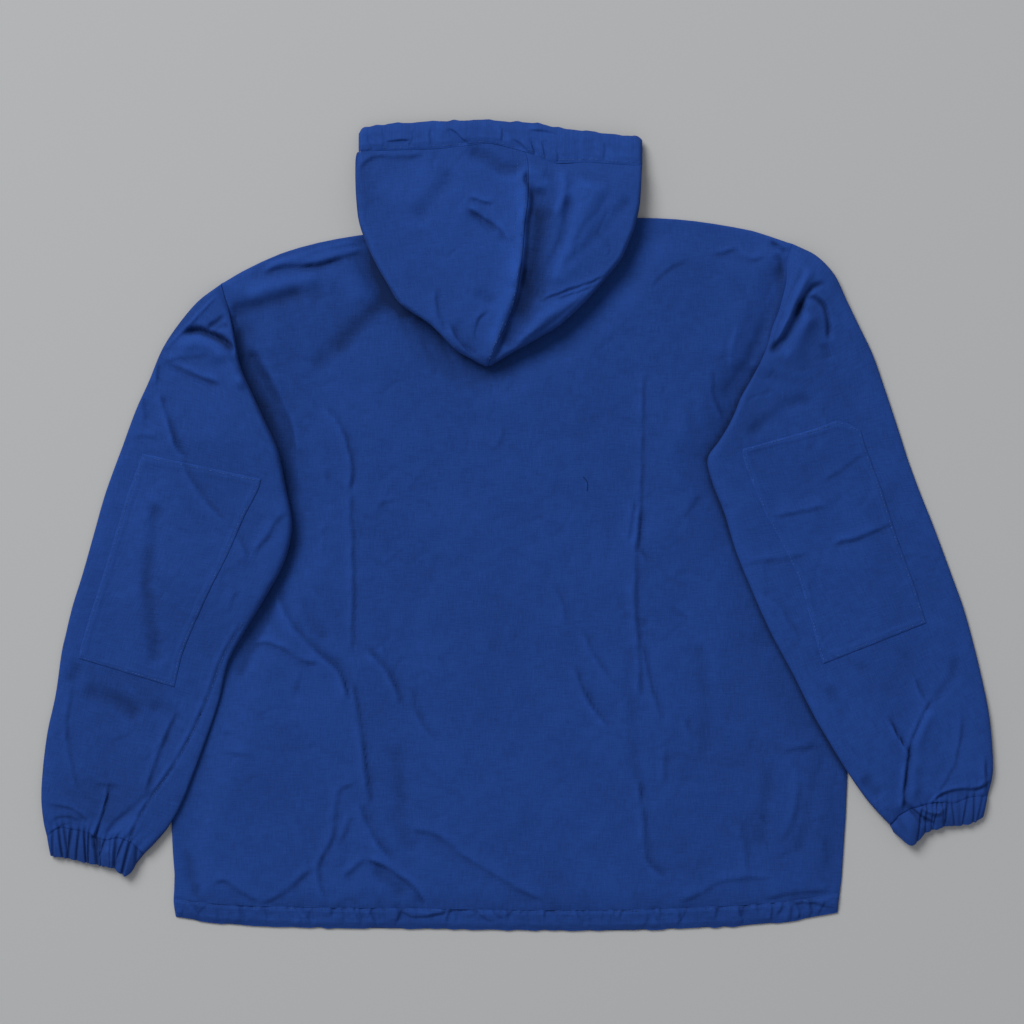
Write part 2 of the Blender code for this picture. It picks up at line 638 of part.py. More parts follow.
class Tube:
    """A flattened sleeve: where each point of its upper and lower side lies."""

    # How many sections from each end follow the bend of the seam there
    seam_reach = 3.0

    def __init__(self, rows, side, folds, cuff_lines):
        self.rows = rows
        self.side = side
        self.folds = folds
        self.cuff_lines = cuff_lines
        count = len(rows) - 1
        self.stations = np.linspace(0.0, count, count * SLEEVE_STEPS + 1)[:, None]

    def along(self, column):
        rows = self.rows
        return smooth_curve(self.stations, np.arange(len(rows), dtype=float), numbers(rows, column))

    def top_across(self):
        """Fractions across the upper side, with points on the patch's two long edges."""
        left, right = self.along("patch_from"), self.along("patch_to")
        middle = np.linspace(0.0, 1.0, PATCH_POINTS)
        near = left * EDGE_MARGINS
        far = right + (1.0 - right) * (1.0 - EDGE_MARGINS[::-1])
        return np.concatenate([near, left + (right - left) * middle, far], axis=1)

    def low_across(self):
        """Fractions across the lower side, on the way back from the inner edge."""
        return np.broadcast_to(LOW_POINTS, (len(self.stations), len(LOW_POINTS)))

    def plan(self, across):
        x = self.along("outer_x") + (self.along("inner_x") - self.along("outer_x")) * across
        y = self.along("outer_y") + (self.along("inner_y") - self.along("outer_y")) * across
        near_armhole = 1.0 - smooth_step(self.stations / self.seam_reach)
        near_cuff = 1.0 - smooth_step((self.stations[-1] - self.stations) / self.seam_reach)
        x = x + armhole_bend(self.rows, self.side, across) * near_armhole
        return x, y - cuff_line(self.cuff_lines, across, "seam") * near_cuff

    def levels(self, across):
        """Plan of each point, with the tube's lowest and highest level there."""
        x, y = self.plan(across)
        low = ground(x, y, RAMP_UNDER)
        outer, inner = self.along("outer_height"), self.along("inner_height")
        height = outer + (inner - outer) * smooth_step(across)
        fold = relief(x, y, self.folds) * smooth_step(self.stations / 1.5)
        high = ground(x, y, RAMP_OVER) + height + fold
        return x, y, low, np.maximum(high, low + 2 * CLOTH + LEAST_HOLLOW)

    def top(self, across, wall):
        """Upper side of the tube, or of its hollow when it is one wall further in."""
        x, y, low, high = self.levels(across)
        middle = (low + high) / 2.0
        return stacked(x, y, middle + (high - wall - middle) * edge_round(across, SQUARE_TOP))

    def bottom(self, across, wall):
        x, y, low, high = self.levels(across)
        middle = (low + high) / 2.0
        return stacked(x, y, middle - (middle - low - wall) * edge_round(across, SQUARE_LOW))

    def ring(self, wall):
        """Rings round the tube, or round its hollow when they are one wall further in."""
        width = np.hypot(
            self.along("outer_x") - self.along("inner_x"),
            self.along("outer_y") - self.along("inner_y"),
        )
        drawn_in = wall / width
        top, low = self.top_across(), self.low_across()
        upper, lower = self.top(top, wall), self.bottom(low, wall)
        upper[..., :2] = np.stack(self.plan(drawn_in + top * (1 - 2 * drawn_in)), axis=-1)
        lower[..., :2] = np.stack(self.plan(drawn_in + low * (1 - 2 * drawn_in)), axis=-1)
        return np.concatenate([upper, lower], axis=1)


def make_sleeve(tube):
    add_wall("sleeve_" + tube.side, tube.ring(0.0), tube.ring(CLOTH), True)


def make_patch(tube, patch_rows):
    """The elbow patch: the sleeve's own points there, moved out."""
    upper = tube.top(tube.top_across(), 0.0)
    rows = slice(patch_rows.first * SLEEVE_STEPS, patch_rows.last * SLEEVE_STEPS + 1)
    columns = slice(len(EDGE_MARGINS), len(EDGE_MARGINS) + PATCH_POINTS)
    under = upper[rows, columns] + np.array([0.0, 0.0, SEAM_GAP])
    over = under + np.array([0.0, 0.0, PATCH_CLOTH])
    add_wall("elbow_patch_" + tube.side, over, under, colour=CANVAS_DARK)


class Cuff:
    """A gathered cuff: rings from its seam with the sleeve to its lower edge."""

    def __init__(self, tube, corners):
        self.seam = tube.rows[-1]
        self.lines = tube.cuff_lines
        self.corners = corners
        self.sleeve_top = tube.top_across()[-1]
        self.sleeve_low = np.concatenate([[0.0], LOW_POINTS[::-1], [1.0]])

    def line(self, across, column):
        return cuff_line(self.lines, across, column)

    def seam_bend(self, across, is_top):
        """The sleeve's end, straight between the sleeve's own points."""
        top = np.interp(across, self.sleeve_top, self.line(self.sleeve_top, "seam"))
        low = np.interp(across, self.sleeve_low, self.line(self.sleeve_low, "seam"))
        return np.where(is_top, top, low)

    def plan(self, across, is_top):
        seam, corners = self.seam, self.corners
        seam_x = seam.outer_x + (seam.inner_x - seam.outer_x) * across
        seam_y = seam.outer_y + (seam.inner_y - seam.outer_y) * across
        seam_y = seam_y - self.seam_bend(across, is_top)
        edge_x = corners.outer_x + (corners.inner_x - corners.outer_x) * across
        edge_y = corners.outer_y + (corners.inner_y - corners.outer_y) * across
        edge_y = edge_y - self.line(across, "edge")
        return seam_x + (edge_x - seam_x) * CUFF_ROWS, seam_y + (edge_y - seam_y) * CUFF_ROWS

    def ring(self, wall, gathered):
        """Rings round the cuff, with its gathers raised if asked."""
        count = CUFF_GATHERS * POINTS_PER_GATHER
        top = np.linspace(0.0, 1.0, count + 1)
        low = top[-2:0:-1]
        drawn_in = wall / CUFF_WIDTH
        across = np.concatenate([top, low])[None, :]
        is_top = np.arange(across.shape[1])[None, :] < len(top)
        x, y = self.plan(drawn_in + across * (1.0 - 2.0 * drawn_in), is_top)
        middle = (CUFF_HEIGHT + self.line(across, "swell")) * CUFF_FULLNESS / 2.0
        wave = GATHER_HEIGHT * np.sin(math.pi * CUFF_GATHERS * across) ** 2 * gathered
        upper = middle + (middle - wall - wave) * edge_round(across, SQUARE_TOP)
        lower = middle - (middle - wall - wave / 2.0) * edge_round(across, SQUARE_LOW)
        return stacked(x, y, np.where(is_top, upper, lower))


def make_cuff(cuff, side):
    plain_wall = CLOTH + GATHER_HEIGHT
    add_wall("cuff_" + side, cuff.ring(0.0, True), cuff.ring(plain_wall, False), True)


def hood_rim(x, y):
    """How far the folded hood has risen from its rolled outline, from 0.5 to 1."""
    inside = np.maximum(depth_inside(x, y, HOOD_OUTLINE), 0.0)
    return 1.0 - 0.5 * np.exp(-inside / HOOD_ROLL)


def hood_smooth_top(x, y):
    """Upper side of the hood as it would lie with no folds."""
    height = smooth_curve(y, numbers(HOOD_HEIGHTS, "y"), numbers(HOOD_HEIGHTS, "height"))
    return ground(x, y, RAMP_OVER) + height * hood_rim(x, y)


def hood_top(x, y):
    """Upper side of the hood's two halves."""
    inside = np.maximum(depth_inside(x, y, HOOD_OUTLINE), 0.0)
    return hood_smooth_top(x, y) + relief(x, y, HOOD_FOLDS) * smooth_step(inside / FOLD_START)


def stitch_y(x):
    """Y of the stitched line under the casing."""
    return smooth_curve(x, numbers(CASING_SECTIONS, "x"), numbers(CASING_SECTIONS, "stitch_y"))


def hood_plan(half, across, station):
    """Plan of a point on a hood half: across it from the seam to its outline."""
    stations = np.arange(len(HOOD_SECTIONS), dtype=float)

    def at(column):
        return smooth_curve(station, stations, numbers(HOOD_SECTIONS, column))

    x = at("seam_x") + (at(half + "_x") - at("seam_x")) * across
    y = at("seam_y") + (at(half + "_y") - at("seam_y")) * across
    side = -1.0 if half == "left" else 1.0
    x = x + side * SEAM_GAP / 2.0 * (1.0 - across)
    near_casing = 1.0 - smooth_step(station / HOOD_STEPS)
    return x, y + (stitch_y(x) - SEAM_GAP - y) * near_casing


def hood_stations():
    count = len(HOOD_SECTIONS) - 1
    return np.linspace(0.0, count, count * HOOD_STEPS + 1)[:, None]


def hood_half(half):
    """Plan of one hood half, with its columns from left to right."""
    x, y = hood_plan(half, HOOD_ACROSS[None, :], hood_stations())
    return (x[:, ::-1], y[:, ::-1]) if half == "left" else (x, y)


def make_hood_half(half):
    x, y = hood_half(half)
    top = hood_top(x, y)
    add_wall("hood_" + half, stacked(x, y, top), stacked(x, y, top - CLOTH))


def casing_plan(along, up):
    """Plan of a point on the casing, from its left end and up from its stitched line."""
    stations = np.arange(len(CASING_SECTIONS), dtype=float)
    x = smooth_curve(along, stations, numbers(CASING_SECTIONS, "x"))
    top = smooth_curve(along, stations, numbers(CASING_SECTIONS, "top_y"))
    low = smooth_curve(along, stations, numbers(CASING_SECTIONS, "stitch_y"))
    return np.broadcast_arrays(x, low + (top - low) * up)


def casing_base(x, y):
    """What the casing lies on: just over the hood's hidden layers."""
    return hood_smooth_top(x, y) - CLOTH


def make_casing():
    """The drawcord channel along the face opening: a flattened tube with puckers."""
    count = len(CASING_SECTIONS) - 1
    along = np.linspace(0.0, count, CASING_PUCKERS * POINTS_PER_GATHER // 2 + 1)[:, None]
    up = np.concatenate([CASING_UP, CASING_UP_LOW])[None, :]
    is_top = np.arange(up.shape[1])[None, :] < len(CASING_UP)
    length = CASING_SECTIONS[-1].x - CASING_SECTIONS[0].x

    def ring(wall, puckered):
        drawn_in = wall / CASING_WIDTH
        x, y = casing_plan(along, drawn_in + up * (1.0 - 2.0 * drawn_in))
        middle = casing_base(x, y) + CASING_HEIGHT / 2.0
        half = CASING_HEIGHT / 2.0 - wall
        wave = np.sin(2.0 * math.pi * CASING_PUCKERS * x / length)
        upper = middle + (half + PUCKER_HEIGHT * wave * puckered) * edge_round(up, SQUARE_CASING)
        lower = middle - half * edge_round(up, SQUARE_CASING)
        return stacked(x, y, np.where(is_top, upper, lower))

    add_wall("hood_casing", ring(0.0, True), ring(CLOTH, False), True)


def under_ring(x, y, top):
    """One ring round the hidden layers: their upper side, two bulging edges and their base."""
    base = ground(x, y, RAMP_UNDER)
    rims = []
    for end, before in ((-1, -2), (0, 1)):
        run = np.array([x[end] - x[before], y[end] - y[before]])
        run = run / np.linalg.norm(run)
        rim = [
            (
                x[end] + run[0] * layer.out,
                y[end] + run[1] * layer.out,
                base[end] + (top[end] - base[end]) * layer.up,
            )
            for layer in UNDER_RIM
        ]
        rims.append(rim)
    right, left = rims[0], rims[1][::-1]
    upper = stacked(x, y, top)
    lower = stacked(x, y, base)[::-1]
    return np.concatenate([upper, right, lower, left])


def under_half(half):
    """Upper side of the hidden layers below one half, drawn in from the half's outline."""
    x, y = hood_half(half)
    top = np.minimum(hood_top(x, y), hood_smooth_top(x, y)) - CLOTH - 2 * SEAM_GAP
    points = stacked(x, y, top)[: -2 * HOOD_STEPS + 1]
    last, before = (0, 1) if half == "left" else (-1, -2)
    points[:, last] = points[:, before] + (points[:, last] - points[:, before]) * UNDER_REACH
    return points


def make_hood_under():
    """The hood's hidden layers as one rounded solid, with a crease between them at its edge."""
    left, right = under_half("left"), under_half("right")
    points = np.concatenate([left[:, :-1], right], axis=1)
    x, y = points[0, :, 0], points[0, :, 1]
    casing_x = numbers(CASING_SECTIONS, "x")
    opening_y = smooth_curve(x, casing_x, numbers(CASING_SECTIONS, "top_y"))
    rings = []
    for row in UNDER_OPENING:
        row_y = y + (opening_y - y) * row.up
        top = casing_base(x, row_y) - UNDER_CASING_GAP - row.drop
        rings.append(under_ring(x, row_y, top))
    for row in points:
        rings.append(under_ring(*row.T))
    add_loft("hood_under", np.array(rings), colour=CANVAS_DARK)


def main():
    for old in list(bpy.data.objects):
        bpy.data.objects.remove(old)
    parts = bpy.data.collections.new("anorak_pullover")
    bpy.context.scene.collection.children.link(parts)
    make_front()
    make_back()
    left = Tube(LEFT_SLEEVE, "left", LEFT_SLEEVE_FOLDS, LEFT_CUFF_LINES)
    right = Tube(RIGHT_SLEEVE, "right", RIGHT_SLEEVE_FOLDS, RIGHT_CUFF_LINES)
    make_sleeve(left)
    make_sleeve(right)
    make_patch(left, LEFT_PATCH)
    make_patch(right, RIGHT_PATCH)
    make_cuff(Cuff(left, LEFT_CUFF_EDGE), "left")
    make_cuff(Cuff(right, RIGHT_CUFF_EDGE), "right")
    make_hood_half("left")
    make_hood_half("right")
    make_casing()
    make_hood_under()


main()
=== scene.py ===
"""Looks of the hooded anorak pullover: each cut piece as a fine canvas shell on its solid.

The garment lies flat with its back side up. Lengths are millimetres in the part's frame,
+X to the wearer's right, +Y to the head and +Z up, until a mesh is made. Creases are given
in the chart: millimetres to the right of the layout's upper left corner, and down from it.
"""

import math
from collections import namedtuple
from dataclasses import dataclass
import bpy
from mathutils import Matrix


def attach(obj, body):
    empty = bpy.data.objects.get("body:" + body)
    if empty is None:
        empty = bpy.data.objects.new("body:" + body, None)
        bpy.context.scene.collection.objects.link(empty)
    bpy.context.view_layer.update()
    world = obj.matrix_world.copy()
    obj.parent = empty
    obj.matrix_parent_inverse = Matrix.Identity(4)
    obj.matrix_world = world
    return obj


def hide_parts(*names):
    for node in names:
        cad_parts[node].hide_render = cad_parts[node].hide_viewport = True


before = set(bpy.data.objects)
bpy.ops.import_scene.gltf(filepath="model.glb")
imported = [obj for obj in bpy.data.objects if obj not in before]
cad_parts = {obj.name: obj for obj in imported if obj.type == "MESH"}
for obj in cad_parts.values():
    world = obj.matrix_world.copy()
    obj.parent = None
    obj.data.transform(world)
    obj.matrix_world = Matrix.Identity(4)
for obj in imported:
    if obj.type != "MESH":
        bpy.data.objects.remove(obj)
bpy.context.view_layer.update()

from types import SimpleNamespace

import bpy
import numpy as np
from mathutils import Vector

BODY = "root"
MM = 0.001
CHART_X = 517.0
CHART_Y = 525.5

# Cloth and seams. A gap below zero is an overlap.
CLOTH = 1.2
PATCH_CLOTH = 1.0
SEAM_GAP = 0.3
ARMHOLE_GAP = -0.8
REST_GAP = 0.8
FLAT_TOP = 2 * CLOTH + SEAM_GAP

# Body panels
PUFF = 6.5
PUFF_REACH = 42.0
EDGE_ROLL = 6.0
HEM_EDGE = CLOTH + SEAM_GAP + 0.4
HEM_ROLL = 2.6
SEAM_LINE = 1.8
# Lowest point of each armhole's seam, and how much the body rises to it
SEAM_LEFT = 206.0
SEAM_RIGHT = 166.0
SEAM_RISE = 2.6
HEM_WIDTH = 21.0
HEM_SWELL = 1.5
NECK_LEFT = -92.0
NECK_RIGHT = 68.0
NECK_DROP_BACK = 25.0
NECK_DROP_FRONT = 80.0

# What lies over the panels' edges slopes down to the surface between these distances out:
# steeply on its under side and gently on its upper side
Ramp = namedtuple("Ramp", "start end")
RAMP_UNDER = Ramp(1.0, 16.0)
RAMP_OVER = Ramp(26.0, 70.0)
# How far the sleeve's under side is tucked down and its upper side sinks at the armhole
ARMHOLE_TUCK = 2.6
ARMHOLE_SINK = 1.5
# How many sections the bend at a sleeve's ends takes up
SEAM_REACH = 3.0
# A sleeve's least hollow, and how square its and the cuffs' sections are
HOLLOW = 0.5
SQUARE_TOP = 12
SQUARE_INNER = 24
SQUARE_LOW = 24

# Hood
HOOD_ROLL = 4.5
HOOD_EDGE = 0.72
HOOD_DEEP = 6.0
HOOD_ACROSS = 140.0
CASING_SWELL = 1.6
CASING_WIDTH = 27.0

# Cuffs
CUFF_WIDTH = 92.0
CUFF_LENGTH = 27.0
CUFF_HEIGHT = 8.5
# How far the gathered cloth would stretch, and where it lies on the sleeve's cloth
CUFF_STRETCH = 1.8
CUFF_START = 600.0
GATHER_FADE = 16.0

# A shell's hidden side has one point for every STRIDE of its visible side
STRIDE = 4
THINNEST = 0.3
MARGIN = np.array([0.0, 0.7, 1.6, 2.8])

# How many points each piece's fine side has along it and across it
Grid = namedtuple("Grid", "along across")
BACK_GRID = Grid(345, 265)
HEM_GRID = Grid(29, 581)
FRONT_GRID = Grid(137, 129)
SLEEVE_GRID = Grid(281, 97)
PATCH_GRID = Grid(121, 69)
CUFF_GRID = Grid(37, 233)
HOOD_GRID = Grid(181, 117)
CASING_GRID = Grid(401, 33)
# About how wide each is, to place the close columns at its edges
BACK_ACROSS = 640.0
HEM_ACROSS = 655.0
FRONT_ACROSS = 660.0
SLEEVE_ACROSS = 175.0
PATCH_ACROSS = 122.0

# Stitches
STITCH_LENGTH = 2.5
STITCH_PITCH = 3.3
THREAD = 0.34
PATCH_INSET = 2.4

# The weave's thread spacing and its depth, in metres as the material's nodes take them
THREAD_SPACING = 0.00055
WEAVE_DEPTH = 0.00025

# How much lighter cloth is painted, as wear, for each millimetre that it stands above its
# surroundings, and darker, as painted shade, below them in hollows and creases
RIDGE_WEAR_AND_HOLLOW_SHADE = 0.35
CREASE_WEAR_AND_SHADE = 0.26
CREASE_WEAR_AND_SHADE_LIMIT = 1.2
LIGHTEST = 1.65
DARKEST = 0.35
CANVAS = (0.0102, 0.0432, 0.2060)
# The canvas made darker for the gathered cuffs: painted shade among the gathers
GATHERED_SHADED = (0.0090, 0.0375, 0.1770)
THREAD_BLUE = (0.0400, 0.1000, 0.3300)


def rows_of(text):
    """The words of each row of a text table, whose rows end at a semicolon or a line's end."""
    rows = [row.split() for row in text.replace(";", "\n").splitlines()]
    return [row for row in rows if row and row[0] != "#"]


def table(columns, text):
    """A table's columns by name, as arrays."""
    return SimpleNamespace(**dict(zip(columns.split(), np.array(rows_of(text), float).T)))


def chart_path(points):
    """Points of the chart from their texts, each an x and a y with a comma between."""
    return [tuple(float(part) for part in point.split(",")) for point in points]


# Outline of the two body panels: where the left and right sides are at each height
BODY_SIDES = table("y left right", """
    -391 -341 320; -378 -343 321; -355 -342 324; -325 -344 326; -297 -345 328; -243 -345 330
    -175 -344 331; -95 -343 330; -50 -342 325; -5 -333 309; 45 -321 290; 105 -307 270
    150 -296 257; 176 -288 252; 193 -285 254; 214 -288 262; 229 -293 266; 240 -296 269
    268 -296 271; 281 -296 276
""")
HEM_LINE = table("x y", """
    -341 -391; -303 -396.5; -217 -401; -119 -402.5; -17 -403.5; 66 -404.5; 103 -404.5
    162 -402.5; 233 -399; 283 -393.5; 320 -386
""")
SHOULDER_LINE = table("x y", """
    -296 241; -267 257.5; -228 274.5; -211 279.5; -155 290.5; -117 294.5; -92 295; 68 303
    83 306; 123 307.5; 166 305.5; 209 299.5; 239 293.5; 260 286.5; 276 281
""")

# Sections across each sleeve, from the armhole to the cuff: its two edges, between which
# fractions the patch lies, and the tube's height at its outer and its inner edge
SLEEVE_COLUMNS = "outer_x outer_y inner_x inner_y patch_from patch_to outer_height inner_height"
LEFT_SLEEVE = table(SLEEVE_COLUMNS, """
    -296 241 -288 214 0.13 0.86 1.5 2.5
    -318 224.5 -283 193 0.13 0.86 6 9
    -337 202.5 -276 159.5 0.13 0.86 8 16
    -354 176.5 -264 132.5 0.13 0.86 8 22
    -367 145.5 -251 104.5 0.13 0.86 7 24
    -381 114.5 -238 75.5 0.13 0.86 6 23
    -395 76.5 -231 41.5 0.13 0.86 6 20
    -411 32.5 -224 1.5 0.115 0.75 5.5 18
    -423 -9.5 -231.5 -35.5 0.11 0.71 5.5 17
    -434 -48.5 -250 -70.5 0.11 0.7 5.5 17
    -444 -80.5 -270 -103.5 0.115 0.71 5.5 12
    -451 -109.5 -288 -136.5 0.11 0.72 5.5 8
    -455 -127.5 -297.5 -174.5 0.11 0.72 6 5
    -461 -169.5 -309 -209.5 0.11 0.72 6 5
    -469 -206.5 -321 -242.5 0.11 0.72 7 5.5
    -473.5 -242.5 -334 -275.5 0.11 0.72 8 6
    -475 -271.5 -347 -299.5 0.11 0.72 9 7
    -473 -294.5 -361 -316.5 0.11 0.72 9 8
    -469.5 -310.5 -372 -327.5 0.11 0.72 8 7.5
""")
RIGHT_SLEEVE = table(SLEEVE_COLUMNS, """
    276 281 252 176 0.18 0.82 1.5 2.5
    299 269.5 244 163.5 0.18 0.82 6 9
    317 250.5 233 144.5 0.18 0.82 8 13
    329 225.5 223 127.5 0.18 0.82 8 15
    342 198.5 217 112.5 0.18 0.82 8 15
    355 171.5 209.5 97.5 0.18 0.82 7 14
    367 137.5 201.5 84.5 0.18 0.82 6 13
    380 98.5 190 66.5 0.19 0.82 6 12
    391 64.5 194.5 43.5 0.185 0.81 5.5 11
    402 34.5 207 11.5 0.185 0.805 5.5 10
    414 4.5 218 -24.5 0.195 0.77 5.5 7
    425 -24.5 235 -66.5 0.2 0.755 5.5 7
    436 -54.5 254 -108.5 0.205 0.785 5.5 7
    446 -82.5 276 -149.5 0.22 0.83 6 7
    455 -114.5 295 -187.5 0.22 0.83 6 7
    464 -151.5 314 -220.5 0.22 0.83 7 8
    471 -186.5 332 -249.5 0.22 0.83 8 8
    474.5 -219.5 349 -273.5 0.22 0.83 9 9
    475 -247.5 363 -289.5 0.22 0.83 10 10
    470 -270.5 372 -298.5 0.22 0.83 8 8
""")
PatchRows = namedtuple("PatchRows", "first last")
LEFT_PATCH = PatchRows(6, 12)
RIGHT_PATCH = PatchRows(7, 13)
# How far each patch's upper edge rises above its first row, across from the outer edge
PATCH_TOP_COLUMNS = "part rise"
LEFT_PATCH_TOP = table(PATCH_TOP_COLUMNS, """
    0 0; 0.5 0; 1 0
""")
RIGHT_PATCH_TOP = table(PATCH_TOP_COLUMNS, """
    0 3; 0.1 12; 0.18 17; 0.27 16; 0.38 14; 0.55 12; 0.75 10; 1 6
""")

# Each cuff: how far its seam and its lower edge stand off the straight lines between its
# corners, towards the hand, across from the outer corner to the inner one
CUFF_COLUMNS = "across seam edge swell"
LEFT_CUFF_LINES = table(CUFF_COLUMNS, """
    0 0 0 0; 0.09 -8 0.5 0; 0.3 -11 2 0; 0.45 -9.5 4 0; 0.59 -6 6 1; 0.75 -11 7 3; 0.87 -8 13 4
    0.94 -4 9 2; 1 0 0 0
""")
RIGHT_CUFF_LINES = table(CUFF_COLUMNS, """
    0 0 0 0; 0.17 -3.5 4.5 0; 0.36 -3 3.5 0; 0.52 -9.5 4 1; 0.65 -9 6 2; 0.8 -8.5 16 5
    0.9 -6 10 4; 1 0 0 0
""")
CuffCorners = namedtuple("CuffCorners", "outer_x outer_y inner_x inner_y")
LEFT_CUFF_EDGE = CuffCorners(-466, -329.5, -380, -337)
RIGHT_CUFF_EDGE = CuffCorners(466, -291, 376, -305)
# The valleys between a cuff's gathers: where across it, how wide and how deep, and how far
# across each leans by the hand
GATHER_COLUMNS = "across width depth lean"
LEFT_GATHERS = table(GATHER_COLUMNS, """
    0.065 0.016 0.7 -0.03; 0.127 0.014 0.8 0.02; 0.185 0.016 0.7 0.04; 0.258 0.018 0.9 -0.05
    0.337 0.014 0.7 -0.03; 0.39 0.013 0.9 0.03; 0.435 0.012 0.7 0.01; 0.505 0.024 1.0 0.05
    0.55 0.012 0.6 0.04; 0.60 0.014 0.7 -0.06; 0.66 0.012 0.3 0.04; 0.72 0.020 0.7 0.03
    0.80 0.014 0.5 -0.07; 0.86 0.016 0.7 -0.02; 0.93 0.018 0.6 0.06
""")
RIGHT_GATHERS = table(GATHER_COLUMNS, """
    0.05 0.016 0.4 0.02; 0.136 0.014 0.5 -0.02; 0.207 0.017 0.5 0.03; 0.29 0.022 0.3 -0.03
    0.365 0.012 0.4 -0.04; 0.41 0.014 0.6 0.03; 0.465 0.012 0.3 -0.02; 0.516 0.010 0.45 0.05
    0.56 0.012 0.35 0.02; 0.622 0.013 0.4 0.03; 0.664 0.015 0.5 0.08; 0.9 0.04 0.15 0.0
""")

# Sections across the hood, from the face opening down to the peak, which points to the hem
HOOD_SECTIONS = table("left_x left_y seam_x seam_y right_x right_y", """
    -158 372.5 6 372.5 125 358.5
    -161 352.5 11 347.5 124 341.5
    -160 325.5 11 323.5 122 318.5
    -156 297.5 8 299.5 116 293.5
    -143 265.5 6 273.5 104 265.5
    -129 240.5 3 248.5 85 241.5
    -115 219.5 -1 225.5 67 221.5
    -86 199.5 -8 204.5 43 199.5
    -63 176.5 -17 186.5 20 185.5
    -47 166.5 -23 174.5 -2 173.5
    -37 161 -27 165.5 -17 164.5
    -31 158.5 -28.5 159 -26 159.5
""")
CASING_SECTIONS = table("x top_y stitch_y", """
    -158 391 372.5; -152 397.5 373; -131 400.5 373.5; -118 401.5 374; -77 404 375.5
    -49 404 378.5; -27 404.5 380.5; -8 403.5 376.5; 13 402.5 370.5; 36 398 361; 70 393 361.5
    97 390.5 359.5; 118 388 358.5; 125 384 358.5
""")
HOOD_HEIGHTS = table("y height", """
    158 13; 165 16.5; 180 20; 200 21.5; 240 22; 298 21.5; 350 17.5; 372 14; 405 9.5
""")

# A FOLD is a soft ridge or, below zero, a trough. A STEP falls by its height across a
# narrow line, towards the layout's lower right, and eases back on both sides. A SEAM is a
# narrow groove with a ridge beside it. Each row gives kind, height, width and path.
STRAY = 0.8
CREASE_FADE = 13.0
STEP_RELIEF = 2.3
STEP_SHARPNESS = 0.7
FOLD_RELIEF = 1.8
FOLD = "fold"
STEP = "step"
SEAM = "seam"
Crease = namedtuple("Crease", "kind height width path")


def creases(text):
    """Creases from rows that give their kind, height, width and path."""
    return [
        Crease(kind, float(height), float(width), chart_path(path))
        for kind, height, width, *path in rows_of(text)
    ]


